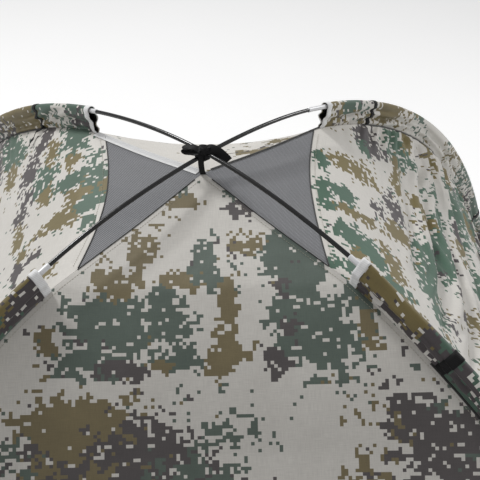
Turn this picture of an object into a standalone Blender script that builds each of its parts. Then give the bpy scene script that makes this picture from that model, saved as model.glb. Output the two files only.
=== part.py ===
"""Crossed-pole ground blind: two sprung fibreglass poles in four fabric sleeves, with walls hung below.

Metres, +Z up. The origin is on the ground, at the middle of the square footprint. -Y is the front.
Each pole is an elastic arch pinned at the ground, in a diagonal vertical plane. Lengths s are measured
along a pole from its top, positive towards +X.
"""
import math

import bmesh
import bpy
import numpy as np
from mathutils import Vector

# Driving dimensions
HALF_BASE = 1.0             # half the side of the square between the pole feet
HEIGHT = 1.30               # height of the pole crossing
FABRIC = 0.0015             # modelled thickness of a fabric panel
GAP = 0.0003                # clearance between pieces that touch

# Poles
ROD_RADIUS = 0.0035
BORE_RADIUS = 0.0017
FERRULE_RADIUS = 0.0044
SOCKET_RADIUS = 0.0038
FERRULE_HALF = 0.032        # a ferrule covers this much of each of the two rods it joins
CORD_RADIUS = 0.0010
CENTRE_JOINT = 0.322        # half length of the centre rod
SECTION = 0.5745            # length of the other rods
TIP_LENGTH = 0.025          # bare steel pin below the last rod
TIP_RADIUS = 0.0022
SPIGOT_RADIUS = 0.0013
SPIGOT_LENGTH = 0.020
CROSSING_LIFT = 0.0040      # one pole passes this much over mid height, the other under it
LIFT_REACH = 0.30           # the lift has died away this far from the crossing
POLE_SLIP = {"a": -0.020, "b": 0.011}   # how far each pole has slid along its sleeves
STEPS_PER_ARCH = 48
ROD_SIDES = 8

# Sleeves: a fabric tube round the pole with a flat fin down to the wall seam
SLEEVE_RADIUS = 0.0065
SLEEVE_BORE = 0.0054
FIN_HALF = 0.0015
FIN_TUCK = 0.002            # the fin's foot lies this far between the two walls' edges
STRIP_CLEARANCE = 0.003     # strips round a sleeve stop this far above the walls
SLEEVE_FOOT = 0.10          # the sleeve stops this far above the pole's foot
MOUTHS = {"front_left": 0.330, "front_right": 0.321, "back_left": 0.297, "back_right": 0.323}
TAPE_WIDTH = 0.018
TAPE_THICKNESS = 0.0008
BAND_START = 0.492
BAND_WIDTH = 0.020

# Walls
SEAM_DEPTH = 0.042          # wall seam below the pole, along the sleeves
SEAM_SAG = 0.014            # extra depth midway between the mouths and the apex
APEX_DEPTH = 0.038
APEX_HOLE = 0.012           # the wall tips stop this far from the centre
ARC_TOP = 0.95              # below this height the wall's profile is one circular arc
ARC_MIDDLE = 0.46
MESH_EDGE = 0.285           # mesh panel's lower edge at its corners, along the seam
MESH_ROW = 7                # the profile row at that edge
MESH_RISE_ROWS = 2          # rows by which the edge is higher at its middle
MESH_SEAM_ROWS = 0.012      # half the clearance at that edge, in rows
MESH_PANEL_ROWS = (0.0, 0.2, 0.4, 0.6, 0.8, 1.0)
DOOR_SHARE = 0.68
WINDOW_SHARE = 0.5
DOOR_HALF = 0.35
DOOR_TOP = 0.92
FLAP_SIDE_GAP = 0.005
WINDOW_HALF = 0.24
WINDOW_TOP = 0.84
WINDOW_BOTTOM = 0.62
WINDOW_LAP = 0.02
FLAP_GAP = 0.0011
FLAP_FOOT = 0.012           # the door flap's lower edge above the ground

# Door zips
ZIP_WIDTH = 0.012
ZIP_THICKNESS = 0.0016
ZIP_FOOT = 0.010
ZIP_STEPS = 15
ZIP_OFFSET = 0.0025         # from the flap's edge to the tape
SLIDER_REST = 0.055         # the slider's rest place above the tape's foot
SLIDER_LENGTH = 0.016
SLIDER_WIDTH = 0.010
SLIDER_THICKNESS = 0.0045
PULL_LENGTH = 0.042
PULL_WIDTH = 0.007
PULL_THICKNESS = 0.0014

# Crossing tie and apex
TIE_HALF_WIDTH = 0.0122
TIE_HALF_HEIGHT = 0.0088
TIE_THICKNESS = 0.0016
TIE_RIBBON = 0.012
TAIL_LENGTH = 0.026
STRAP_WIDTH = 0.007
STRAP_THICKNESS = 0.0018
PATCH_RADIUS = 0.020
PATCH_DROP = 0.0060

# Ground tabs
TAB_HALF_WIDTH = 0.018
TAB_THICKNESS = 0.0020
TAB_HOLE = 0.0045
TAB_REACH = 0.026           # webbing beyond the pole's foot

ROOT2 = math.sqrt(2.0)
CORNERS = {"front_left": (-1, -1), "front_right": (1, -1), "back_left": (-1, 1), "back_right": (1, 1)}
POLES = {"a": (1, 1), "b": (1, -1)}

COLOURS = {
    "fibreglass": ((0.015, 0.015, 0.016), 0.25, 0.0),
    "ferrule": ((0.80, 0.80, 0.78), 0.35, 0.8),
    "shock_cord": ((0.75, 0.75, 0.72), 0.8, 0.0),
    "steel": ((0.55, 0.55, 0.55), 0.3, 1.0),
    "camo": ((0.36, 0.38, 0.30), 0.75, 0.0),
    "mesh": ((0.21, 0.21, 0.22), 0.85, 0.0),
    "white_tape": ((0.82, 0.82, 0.82), 0.7, 0.0),
    "black_webbing": ((0.012, 0.012, 0.014), 0.7, 0.0),
    "zip": ((0.02, 0.02, 0.02), 0.5, 0.0),
}


def complete_integrals(k):
    """Complete elliptic integrals K and E by the midpoint rule, which converges fast here."""
    phi = (np.arange(400) + 0.5) * (math.pi / 800)
    root = np.sqrt(1.0 - (k * np.sin(phi)) ** 2)
    return float(np.mean(1.0 / root) * math.pi / 2), float(np.mean(root) * math.pi / 2)


def solve_modulus(span, height):
    """Modulus of the pinned elastic arch with this span and height."""
    low, high = 0.05, 0.90
    for _ in range(60):
        k = 0.5 * (low + high)
        big_k, big_e = complete_integrals(k)
        if (2 * big_e - big_k) / k > span / height:
            low = k
        else:
            high = k
    return k


def elastic_arch(span, height, steps=1600):
    """Arc length, radius, height and slope from the top of the arch to its foot."""
    k = solve_modulus(span, height)
    rate = 2 * k / height
    length = complete_integrals(k)[0] / rate
    ds = length / steps
    slope, bend, r, z = 0.0, 2 * k * rate, 0.0, height
    rows = [(0.0, r, z, slope)]
    for i in range(steps):
        mid_slope = slope + 0.5 * ds * bend
        bend = bend - ds * rate ** 2 * math.sin(mid_slope)
        new_slope = mid_slope + 0.5 * ds * bend
        r += ds * math.cos(mid_slope)
        z -= ds * math.sin(mid_slope)
        slope = new_slope
        rows.append(((i + 1) * ds, r, z, slope))
    table = np.array(rows)
    table[:, 1] *= (span / 2) / table[-1, 1]
    table[:, 2] = height - (height - table[:, 2]) * height / (height - table[-1, 2])
    return table


ARCH = elastic_arch(2 * ROOT2 * HALF_BASE, HEIGHT)
HALF_LENGTH = float(ARCH[-1, 0])
STATIONS = np.linspace(-HALF_LENGTH, HALF_LENGTH, STEPS_PER_ARCH + 1)


def arch_exact(s):
    """Signed radius, height and slope of the arch at s."""
    side = math.copysign(1.0, s)
    r, z, slope = (float(np.interp(abs(s), ARCH[:, 0], ARCH[:, c])) for c in (1, 2, 3))
    return side * r, z, side * slope


def arch_chord(s):
    """The arch as straight chords between the shared stations, so that nested pieces stay nested."""
    i = int(np.clip(np.searchsorted(STATIONS, s) - 1, 0, STEPS_PER_ARCH - 1))
    t = (s - STATIONS[i]) / (STATIONS[i + 1] - STATIONS[i])
    a, b = arch_exact(STATIONS[i]), arch_exact(STATIONS[i + 1])
    return tuple((1 - t) * a[c] + t * b[c] for c in range(3))


def lift(s):
    """How far a pole is raised or lowered near the crossing."""
    if abs(s) >= LIFT_REACH:
        return 0.0
    return CROSSING_LIFT * math.cos(math.pi * s / (2 * LIFT_REACH)) ** 2


def lift_chord(s):
    return float(np.interp(s, STATIONS, [lift(v) for v in STATIONS]))


def pole_frame(pole, s):
    """Centre, outward normal, sideways direction and tangent of a pole at s, in world axes."""
    r, z, slope = arch_chord(s)
    way = Vector((POLES[pole][0], POLES[pole][1], 0)) / ROOT2
    up = Vector((0, 0, 1))
    z += lift_chord(s) * (1 if pole == "b" else -1)
    centre = way * r + up * z
    normal = way * math.sin(slope) + up * math.cos(slope)
    tangent = way * math.cos(slope) - up * math.sin(slope)
    return centre, normal, normal.cross(tangent), tangent


def corner_pole(corner):
    """The pole that ends at a corner, and the sign of s there."""
    x, y = CORNERS[corner]
    return ("a" if x == y else "b"), x


def between(start, end):
    """start, the stations between, and end, in either direction."""
    low, high = min(start, end), max(start, end)
    inside = [float(v) for v in STATIONS if low + 0.004 < v < high - 0.004]
    values = [low] + inside + [high]
    return values if start <= end else values[::-1]


def material(name):
    colour, roughness, metallic = COLOURS[name]
    found = bpy.data.materials.get(name)
    if found:
        return found
    mat = bpy.data.materials.new(name)
    mat.use_nodes = True
    shader = mat.node_tree.nodes["Principled BSDF"]
    shader.inputs["Base Color"].default_value = (*colour, 1.0)
    shader.inputs["Roughness"].default_value = roughness
    shader.inputs["Metallic"].default_value = metallic
    return mat


def add_object(name, verts, faces, slot, origin=(0, 0, 0), smooth=False):
    """One closed body from points in world space, with its origin where asked."""
    origin = Vector(origin)
    mesh = bpy.data.meshes.new(name)
    bm = bmesh.new()
    made = [bm.verts.new(Vector(v) - origin) for v in verts]
    for face in faces:
        bm.faces.new([made[i] for i in face])
    bmesh.ops.recalc_face_normals(bm, faces=bm.faces)
    if bm.calc_volume(signed=True) < 0:
        bmesh.ops.reverse_faces(bm, faces=bm.faces)
    bm.to_mesh(mesh)
    bm.free()
    if smooth:
        mesh.shade_smooth()
        mesh.set_sharp_from_angle(angle=math.radians(40))
    obj = bpy.data.objects.new(name, mesh)
    obj.location = origin
    obj.data.materials.append(material(slot))
    bpy.context.scene.collection.objects.link(obj)
    return obj


def turned_along_pole(name, pole, profile, slot, sides=ROD_SIDES, hollow=False):
    """A turned profile of (s, radius) points bent along a pole; a hollow one closes on itself."""
    rings = []
    for (s0, r0), (s1, r1) in zip(profile, profile[1:]):
        if r0 == r1:
            rings += [(s, r0) for s in between(s0, s1)]
        else:
            rings += [(s0, r0), (s1, r1)]
    if hollow:
        rings += [rings[0]]
    rings = [ring for i, ring in enumerate(rings) if i == 0 or ring != rings[i - 1]]
    if hollow:
        rings = rings[:-1]
    verts, faces = [], []
    for s, radius in rings:
        centre, normal, side, _ = pole_frame(pole, s)
        for i in range(sides):
            angle = 2 * math.pi * (i + 0.5) / sides
            verts.append(centre + radius * (math.cos(angle) * side + math.sin(angle) * normal))
    count = len(rings)
    for ring in range(count if hollow else count - 1):
        after = (ring + 1) % count
        for i in range(sides):
            j = (i + 1) % sides
            faces.append([ring * sides + i, ring * sides + j, after * sides + j, after * sides + i])
    if not hollow:
        faces.append(list(range(sides)))
        faces.append([(count - 1) * sides + i for i in range(sides)])
    return add_object(name, verts, faces, slot, smooth=True)


def banded(name, frames, outlines, closed, slot, smooth=False):
    """A strip or tube carried through frames, with a paired outer and inner outline for each frame."""
    count = len(outlines[0][0])
    verts, faces = [], []
    for (centre, normal, side), (outer, inner) in zip(frames, outlines):
        for across, out in outer + inner:
            verts.append(centre + side * across + normal * out)
    spans = count if closed else count - 1
    for f in range(len(frames) - 1):
        here, there = f * 2 * count, (f + 1) * 2 * count
        for i in range(spans):
            j = (i + 1) % count
            for shift in (0, count):
                faces.append([here + shift + i, here + shift + j, there + shift + j, there + shift + i])
        if not closed:
            for i in (0, count - 1):
                faces.append([here + i, here + count + i, there + count + i, there + i])
    for base in (0, (len(frames) - 1) * 2 * count):
        for i in range(spans):
            j = (i + 1) % count
            faces.append([base + i, base + j, base + count + j, base + count + i])
    return add_object(name, verts, faces, slot, smooth=smooth)


def sleeve_outline(grow, base):
    """Outline over the pole, from the fin's foot on one side to its foot on the other."""
    arc = [math.radians(a) for a in range(-20, 201, 44)]
    radius = SLEEVE_RADIUS + grow
    over = [(radius * math.cos(a), radius * math.sin(a)) for a in arc]
    half = FIN_HALF + grow
    neck = -2 * SLEEVE_RADIUS
    return [(half, base), (half, neck)] + over + [(-half, neck), (-half, base)]


def make_sleeve(corner):
    pole, sign = corner_pole(corner)
    bore_angles = [-82, -50] + list(range(-20, 201, 44)) + [230, 262]
    bore = [(SLEEVE_BORE * math.cos(math.radians(a)), SLEEVE_BORE * math.sin(math.radians(a)))
            for a in bore_angles]
    span = between(sign * MOUTHS[corner], sign * (HALF_LENGTH - SLEEVE_FOOT))
    frames = [pole_frame(pole, s)[:3] for s in span]
    outlines = [(sleeve_outline(0, -wall_depth(abs(s)) - FIN_TUCK), bore) for s in span]
    banded("sleeve_" + corner, frames, outlines, True, "camo", smooth=True)


def make_sleeve_strip(name, corner, start, width, slot):
    """A strip that wraps over the sleeve and runs down both sides of its fin."""
    pole, sign = corner_pole(corner)
    base = -wall_depth(start + width / 2) + STRIP_CLEARANCE
    inner = sleeve_outline(GAP, base)
    outer = sleeve_outline(GAP + TAPE_THICKNESS, base)
    frames = [pole_frame(pole, s)[:3] for s in between(sign * start, sign * (start + width))]
    banded(name, frames, [(outer, inner)] * len(frames), False, slot)


def make_poles():
    for pole in POLES:
        slip = POLE_SLIP[pole]
        joints = [slip + way * (CENTRE_JOINT + n * SECTION) for way in (-1, 1) for n in range(3)]
        foot = HALF_LENGTH - TIP_LENGTH
        cuts = sorted(joints + [-foot, foot])
        for i, (start, end) in enumerate(zip(cuts, cuts[1:])):
            name = "pole_%s_section_%d" % (pole, i + 1)
            side = (start + end > 0) - (start + end < 0)
            start += GAP / 2
            end -= GAP / 2
            near, far = (start, end) if side >= 0 else (end, start)
            has_ferrule = i in (1, 2, 4, 5)
            profile = [(near, ROD_RADIUS), (far, ROD_RADIUS), (far, BORE_RADIUS), (near, BORE_RADIUS)]
            if has_ferrule:
                back, front = far - side * FERRULE_HALF, far + side * FERRULE_HALF
                profile = [(near, ROD_RADIUS), (back, ROD_RADIUS), (back, FERRULE_RADIUS),
                           (front, FERRULE_RADIUS), (front, SOCKET_RADIUS), (far, SOCKET_RADIUS),
                           (far, BORE_RADIUS), (near, BORE_RADIUS)]
            turned_along_pole(name, pole, profile, "fibreglass", hollow=True)
        cord_end = foot - SPIGOT_LENGTH - GAP
        turned_along_pole("shock_cord_" + pole, pole, [(-cord_end, CORD_RADIUS), (cord_end, CORD_RADIUS)],
                          "shock_cord", sides=6)
    for corner in CORNERS:
        make_centre_ferrule(corner)
        make_tip(corner)


def make_centre_ferrule(corner):
    """Bright metal tube over the joint beside the sleeve's mouth."""
    pole, sign = corner_pole(corner)
    joint = POLE_SLIP[pole] + sign * CENTRE_JOINT
    start, end = joint - FERRULE_HALF, joint + FERRULE_HALF
    profile = [(start, FERRULE_RADIUS), (end, FERRULE_RADIUS), (end, SOCKET_RADIUS), (start, SOCKET_RADIUS)]
    turned_along_pole("ferrule_" + corner, pole, profile, "ferrule", hollow=True)


def make_tip(corner):
    """Steel pin below the last rod, with a spigot up its bore."""
    pole, sign = corner_pole(corner)
    rod_end = HALF_LENGTH - TIP_LENGTH
    shoulder = rod_end + GAP
    pin_start = shoulder + 0.004
    pin_end = HALF_LENGTH - 0.0012
    steps = [(rod_end - SPIGOT_LENGTH, SPIGOT_RADIUS), (shoulder, SPIGOT_RADIUS), (shoulder, ROD_RADIUS),
             (pin_start, ROD_RADIUS), (pin_start, TIP_RADIUS), (pin_end, TIP_RADIUS)]
    turned_along_pole("pole_tip_" + corner, pole, [(sign * s, r) for s, r in steps], "steel")


def seam_exact(p):
    """Radius and height of the wall seam that lies below the pole at p."""
    r, z, slope = arch_exact(p)
    depth = SEAM_DEPTH
    if p < CENTRE_JOINT:
        blend = p / CENTRE_JOINT
        depth = APEX_DEPTH + (SEAM_DEPTH - APEX_DEPTH) * blend + SEAM_SAG * math.sin(math.pi * blend)
    return r - depth * math.sin(slope), z - depth * math.cos(slope)


def seam_at_height(z):
    """Place p along the pole, and the wall's profile point, where the sleeve seam has this height."""
    places = np.linspace(CENTRE_JOINT, HALF_LENGTH, 2000)
    p = next(v for v in places if seam_exact(v)[1] <= z)
    return p, Vector((seam_exact(p)[0] / ROOT2, z))


def arc_profile():
    """The wall's lower arc: the circle through the sleeve seam at ARC_TOP, ARC_MIDDLE and the ground."""
    p_join, top = seam_at_height(ARC_TOP)
    middle = seam_at_height(ARC_MIDDLE)[1]
    foot = seam_at_height(0.0)[1]
    rows = np.array([2 * (middle - top), 2 * (foot - top)])
    squares = np.array([middle.length_squared - top.length_squared, foot.length_squared - top.length_squared])
    centre = Vector(np.linalg.solve(rows, squares))
    return p_join, centre, (top - centre).length, foot


P_JOIN, ARC_CENTRE, ARC_RADIUS, ARC_FOOT = arc_profile()


def height_angle(z):
    """Angle about the arc's centre, from the horizontal, at which the arc has this height."""
    return math.asin((z - ARC_CENTRE.y) / ARC_RADIUS)


def profile_rows():
    """Wall distance and height from the apex down to the ground."""
    upper = [APEX_HOLE, 0.06, 0.12, 0.17, 0.21, 0.24, 0.262, MESH_EDGE]
    upper += list(np.linspace(MESH_EDGE, P_JOIN, 8)[1:-1])
    rows = [Vector((seam_exact(p)[0] / ROOT2, seam_exact(p)[1])) for p in upper]
    heights = [ARC_TOP, DOOR_TOP, WINDOW_TOP, 0.73, WINDOW_BOTTOM, 0.5, 0.4, 0.3, 0.2, 0.1, 0.0]
    for z in heights:
        angle = height_angle(z)
        rows.append(ARC_CENTRE + ARC_RADIUS * Vector((math.cos(angle), math.sin(angle))))
    return rows


ROWS = profile_rows()
LAST_ROW = len(ROWS) - 1


def row_at_height(z):
    """Row number, with a fraction, at which the profile reaches a height."""
    heights = [-row.y for row in ROWS]
    return float(np.interp(-z, heights, range(len(ROWS))))


def profile(row, out=0.0):
    """Profile point at a row number that may have a fraction, moved outward."""
    low = int(min(math.floor(row), LAST_ROW - 1))
    point = ROWS[low].lerp(ROWS[low + 1], row - low)
    before, after = ROWS[max(low - 1, 0)], ROWS[min(low + 2, LAST_ROW)]
    first = (ROWS[low + 1] - before).normalized()
    second = (after - ROWS[low]).normalized()
    along = first.lerp(second, row - low).normalized()
    normal = Vector((-along.y, along.x))
    moved = point + normal * out
    return Vector((moved.x, max(moved.y, 0.0)))


def mitre(row):
    """How far a wall's edge stays from the corner: the sleeve's fin passes between two walls."""
    return float(np.interp(row, [6, 7], [0.0005, (FIN_HALF + GAP) * ROOT2]))


def wall_depth(s):
    """Depth below the pole, along its normal, at which the walls' corner lies."""
    r, z, slope = arch_chord(s)
    low, high = 0.02, 0.08
    for _ in range(40):
        depth = 0.5 * (low + high)
        height = z - depth * math.cos(slope)
        corner = ROOT2 * profile(row_at_height(height)).x
        if r - depth * math.sin(slope) > corner:
            low = depth
        else:
            high = depth
    return depth


def place(wall, across, out, height):
    """World point of a place on a wall, seen from outside with across to the right."""
    ways = {"front": (across, -out), "right": (out, across), "back": (-across, out), "left": (-out, -across)}
    return Vector((*ways[wall], height))


def shell(name, wall, rows, across_at, keep, slot, out=0.0, origin=(0, 0, 0)):
    """A thin panel on a wall. rows are row numbers or functions of the column; keep picks its cells."""
    columns = len(across_at(1.0))
    verts = []
    for surface in (out, out - FABRIC):
        for row in rows:
            for j in range(columns):
                number = row(j) if callable(row) else row
                point = profile(number, surface)
                edge = point.x - mitre(number)
                verts.append(place(wall, across_at(edge)[j], point.x, point.y))
    cells = {(i, j) for i in range(len(rows) - 1) for j in range(columns - 1) if keep(i, j)}
    layer = len(rows) * columns
    faces = []
    for i, j in cells:
        quad = [i * columns + j, i * columns + j + 1, (i + 1) * columns + j + 1, (i + 1) * columns + j]
        faces.append(quad)
        faces.append([v + layer for v in reversed(quad)])
        for k, other in enumerate([(i - 1, j), (i, j + 1), (i + 1, j), (i, j - 1)]):
            if other not in cells:
                a, b = quad[k], quad[(k + 1) % 4]
                faces.append([a, b, b + layer, a + layer])
    used = sorted({v for face in faces for v in face})
    index = {v: n for n, v in enumerate(used)}
    return add_object(name, [verts[v] for v in used], [[index[v] for v in face] for face in faces],
                      slot, origin=origin)


def opening_columns(half, share):
    """Columns across a wall. Two frame an opening, within a share of the half width where it is narrow."""
    def across_at(edge):
        inner = min(half, share * edge)
        outer = 0.5 * (inner + edge)
        return [-edge, -outer, -inner, 0.0, inner, outer, edge]
    return across_at


def mesh_edge_row(column):
    """Row number of the mesh panel's lower edge, which rises from the corners to the middle."""
    fraction = opening_columns(1.0, WINDOW_SHARE)(1.0)[column]
    return MESH_ROW - MESH_RISE_ROWS * (1 - fraction ** 2)


def make_walls():
    """Front wall with the doorway, back and side walls with a window, and the two mesh panels."""
    door_top, window_top, window_bottom = (round(row_at_height(z))
                                           for z in (DOOR_TOP, WINDOW_TOP, WINDOW_BOTTOM))
    middle = (2, 3)
    full = list(range(LAST_ROW + 1))
    door_columns = opening_columns(DOOR_HALF, DOOR_SHARE)
    window_columns = opening_columns(WINDOW_HALF, WINDOW_SHARE)
    shell("front_wall", "front", full, door_columns, lambda i, j: j not in middle or i < door_top, "camo")
    shell("back_wall", "back", full, window_columns,
          lambda i, j: j not in middle or not window_top <= i < window_bottom, "camo")
    for wall in ("left", "right"):
        lower = [lambda j: mesh_edge_row(j) + MESH_SEAM_ROWS] + list(range(MESH_ROW + 1, LAST_ROW + 1))
        shell(wall + "_wall", wall, lower, window_columns,
              lambda i, j: j not in middle or not window_top <= MESH_ROW + i < window_bottom, "camo")
        upper = [lambda j, f=f: f * (mesh_edge_row(j) - MESH_SEAM_ROWS) for f in MESH_PANEL_ROWS]
        shell(wall + "_vent_mesh", wall, upper, window_columns, lambda i, j: True, "mesh")


def make_flap(name, wall, half, top, bottom):
    """A flap that lies on its wall and swings on its top edge."""
    first, last = row_at_height(top), row_at_height(bottom)
    rows = [first] + [r for r in range(LAST_ROW) if first + 0.05 < r < last - 0.05] + [last]
    out = FLAP_GAP + FABRIC
    pivot = profile(first, FLAP_GAP)
    shell(name, wall, rows, lambda edge: [-half, -half / 2, 0.0, half / 2, half], lambda i, j: True,
          "camo", out=out, origin=place(wall, 0.0, pivot.x, pivot.y))


def arc_block(name, angles, radii, across, slot, origin=(0, 0, 0)):
    """A block bent along the front wall's arc, between two radii and two widths."""
    verts, faces = [], []
    for angle in angles:
        for radius in radii:
            for a in across:
                point = ARC_CENTRE + radius * Vector((math.cos(angle), math.sin(angle)))
                verts.append(place("front", a, point.x, point.y))
    for n in range(len(angles) - 1):
        b, c = 4 * n, 4 * n + 4
        faces += [[b, b + 1, c + 1, c], [b + 2, b + 3, c + 3, c + 2], [b, b + 2, c + 2, c],
                  [b + 1, b + 3, c + 3, c + 1]]
    end = 4 * (len(angles) - 1)
    faces += [[0, 1, 3, 2], [end, end + 1, end + 3, end + 2]]
    return add_object(name, verts, faces, slot, origin=origin)


def make_zip(side, sign):
    """Zip tape, its slider at the foot of the tape, and the slider's pull, on one edge of the door."""
    inner = DOOR_HALF - FLAP_SIDE_GAP + ZIP_OFFSET
    tape = (sign * inner, sign * (inner + ZIP_WIDTH))
    foot, top = height_angle(ZIP_FOOT), height_angle(DOOR_TOP - 0.004)
    base = ARC_RADIUS + GAP
    arc_block("door_zip_" + side, list(np.linspace(foot, top, ZIP_STEPS)), (base, base + ZIP_THICKNESS),
              tape, "zip")
    mid = sign * (inner + ZIP_WIDTH / 2)
    low = base + ZIP_THICKNESS + 0.0004
    start = foot + SLIDER_REST / ARC_RADIUS
    end = start + SLIDER_LENGTH / ARC_RADIUS
    centre = place("front", 0.0, ARC_CENTRE.x, ARC_CENTRE.y)
    arc_block("door_slider_" + side, [start, (start + end) / 2, end], (low, low + SLIDER_THICKNESS),
              (mid - SLIDER_WIDTH / 2, mid + SLIDER_WIDTH / 2), "steel", origin=centre)
    pull_low = low + SLIDER_THICKNESS + 0.0005
    pull_end = start + 0.8 * SLIDER_LENGTH / ARC_RADIUS
    pull_start = pull_end - PULL_LENGTH / ARC_RADIUS
    pivot = ARC_CENTRE + (pull_low + PULL_THICKNESS / 2) * Vector((math.cos(pull_end), math.sin(pull_end)))
    arc_block("door_pull_" + side, [pull_start, pull_end], (pull_low, pull_low + PULL_THICKNESS),
              (mid - PULL_WIDTH / 2, mid + PULL_WIDTH / 2), "black_webbing",
              origin=place("front", mid, pivot.x, pivot.y))


def box_between(name, low, high, slot):
    verts = [(x, y, z) for x in (low[0], high[0]) for y in (low[1], high[1]) for z in (low[2], high[2])]
    faces = [[0, 1, 3, 2], [4, 5, 7, 6], [0, 1, 5, 4], [2, 3, 7, 6], [0, 2, 6, 4], [1, 3, 7, 5]]
    return add_object(name, verts, faces, slot)


def rounded_outline(half_width, half_height, corner):
    """Twelve points round a rectangle with cut corners, anticlockwise."""
    points = []
    for sx, sz, first in ((1, 1, 0), (-1, 1, 90), (-1, -1, 180), (1, -1, 270)):
        for step in (0, 45, 90):
            angle = math.radians(first + step)
            points.append((sx * (half_width - corner) + corner * math.cos(angle),
                           sz * (half_height - corner) + corner * math.sin(angle)))
    return points


def make_crossing():
    """Ribbon tie round both poles, the strap that hangs from it and the patch it holds at the apex."""
    inner = rounded_outline(TIE_HALF_WIDTH, TIE_HALF_HEIGHT, 0.004)
    outer = rounded_outline(TIE_HALF_WIDTH + TIE_THICKNESS, TIE_HALF_HEIGHT + TIE_THICKNESS, 0.005)
    centre = arch_chord(0.0)[1]
    frames = [(Vector((0, y, centre)), Vector((0, 0, 1)), Vector((1, 0, 0)))
              for y in (-TIE_RIBBON / 2, TIE_RIBBON / 2)]
    tie = banded("crossing_tie", frames, [(outer, inner)] * 2, True, "black_webbing")
    for sign, name in ((-1, "tail_left_tool"), (1, "tail_right_tool")):
        near = TIE_HALF_WIDTH + TIE_THICKNESS / 2
        low, high = sorted((sign * near, sign * (near + TAIL_LENGTH)))
        tool = box_between(name, (low, -TIE_RIBBON / 2 + 0.001, centre),
                           (high, TIE_RIBBON / 2 - 0.001, centre + 0.003), "black_webbing")
        tool.hide_render = True
        tool.display_type = "WIRE"
        union = tie.modifiers.new(name, "BOOLEAN")
        union.operation = "UNION"
        union.solver = "EXACT"
        union.object = tool
    apex = seam_exact(APEX_HOLE)[1]
    patch_top = apex - PATCH_DROP
    strap_top = centre - TIE_HALF_HEIGHT - TIE_THICKNESS - GAP
    half_width, half_thickness = STRAP_WIDTH / 2, STRAP_THICKNESS / 2
    box_between("apex_strap", (-half_width, -half_thickness, patch_top + GAP),
                (half_width, half_thickness, strap_top), "black_webbing")
    ring = [(PATCH_RADIUS * math.cos(2 * math.pi * i / 16), PATCH_RADIUS * math.sin(2 * math.pi * i / 16))
            for i in range(16)]
    verts = [(x, y, z) for z in (patch_top - 0.0012, patch_top) for x, y in ring]
    faces = [list(range(16)), list(range(16, 32))]
    faces += [[i, (i + 1) % 16, 16 + (i + 1) % 16, 16 + i] for i in range(16)]
    add_object("apex_patch", verts, faces, "white_tape")


def make_ground_tab(corner):
    """Webbing tab on the ground with an eyelet hole that the pole's pin stands in."""
    x, y = CORNERS[corner]
    way = Vector((x, y, 0)) / ROOT2
    side = Vector((-y, x, 0)) / ROOT2
    hole = ROOT2 * HALF_BASE - 0.002
    near = ARC_FOOT.x * ROOT2 + 0.004 - hole
    outline, bore = [], []
    for i in range(16):
        angle = 2 * math.pi * (i + 0.5) / 16
        c, s = math.cos(angle), math.sin(angle)
        reach = TAB_REACH if c > 0 else -near
        scale = min(reach / max(abs(c), 1e-9), TAB_HALF_WIDTH / max(abs(s), 1e-9))
        outline.append((scale * s, scale * c))
        bore.append((TAB_HOLE * s, TAB_HOLE * c))
    frames = [(way * hole + Vector((0, 0, z)), way, side) for z in (0.0, TAB_THICKNESS)]
    banded("ground_tab_" + corner, frames, [(outline, bore)] * 2, True, "black_webbing")


def main():
    for obj in list(bpy.data.objects):
        bpy.data.objects.remove(obj, do_unlink=True)
    make_poles()
    make_walls()
    for corner in CORNERS:
        make_sleeve(corner)
        make_sleeve_strip("mouth_tape_" + corner, corner, MOUTHS[corner] + 0.0005, TAPE_WIDTH, "white_tape")
        make_sleeve_strip("sleeve_band_" + corner, corner, BAND_START, BAND_WIDTH, "black_webbing")
        make_ground_tab(corner)
    make_flap("door_flap", "front", DOOR_HALF - FLAP_SIDE_GAP, DOOR_TOP + WINDOW_LAP, FLAP_FOOT)
    for wall in ("left", "right", "back"):
        make_flap(wall + "_window_flap", wall, WINDOW_HALF + WINDOW_LAP, WINDOW_TOP + WINDOW_LAP,
                  WINDOW_BOTTOM - WINDOW_LAP)
    for side, sign in (("left", -1), ("right", 1)):
        make_zip(side, sign)
    make_crossing()


main()
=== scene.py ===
"""Looks of the crossed-pole ground blind: cloth, poles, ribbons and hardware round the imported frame."""
import math

import bmesh
import bpy
import numpy as np
from mathutils import Matrix, Vector


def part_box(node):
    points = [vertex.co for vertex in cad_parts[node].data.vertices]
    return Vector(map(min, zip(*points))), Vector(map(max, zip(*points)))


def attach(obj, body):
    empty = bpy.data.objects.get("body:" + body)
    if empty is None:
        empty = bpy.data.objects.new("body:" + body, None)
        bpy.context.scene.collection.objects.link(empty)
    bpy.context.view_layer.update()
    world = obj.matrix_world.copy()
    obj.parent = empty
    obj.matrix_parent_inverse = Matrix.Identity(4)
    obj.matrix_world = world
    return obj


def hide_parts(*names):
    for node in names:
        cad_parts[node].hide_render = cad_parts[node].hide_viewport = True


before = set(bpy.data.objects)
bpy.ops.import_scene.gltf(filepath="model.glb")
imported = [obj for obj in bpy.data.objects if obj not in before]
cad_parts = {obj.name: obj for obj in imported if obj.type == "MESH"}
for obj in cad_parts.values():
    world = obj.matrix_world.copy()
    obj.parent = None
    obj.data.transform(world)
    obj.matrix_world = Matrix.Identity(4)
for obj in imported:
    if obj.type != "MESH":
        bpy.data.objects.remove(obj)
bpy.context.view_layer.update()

# ---------------------------------------------------------------- dimensions, in metres
HALF_BASE = 1.0             # from the middle to a pole's foot, along x and along y
HEIGHT = 1.30
ROOT2 = math.sqrt(2.0)
ROD_RADIUS = 0.0035
FERRULE_RADIUS = 0.0044
FERRULE_HALF = 0.032
CENTRE_JOINT = 0.322
SECTION = 0.5745
TIP_LENGTH = 0.025
POLE_SLIP = {"a": -0.020, "b": 0.011}
CROSSING_LIFT = 0.0040
LIFT_REACH = 0.30
SLEEVE_FOOT = 0.10
MOUTHS = {"front_left": 0.330, "front_right": 0.321, "back_left": 0.297, "back_right": 0.323}
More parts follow.
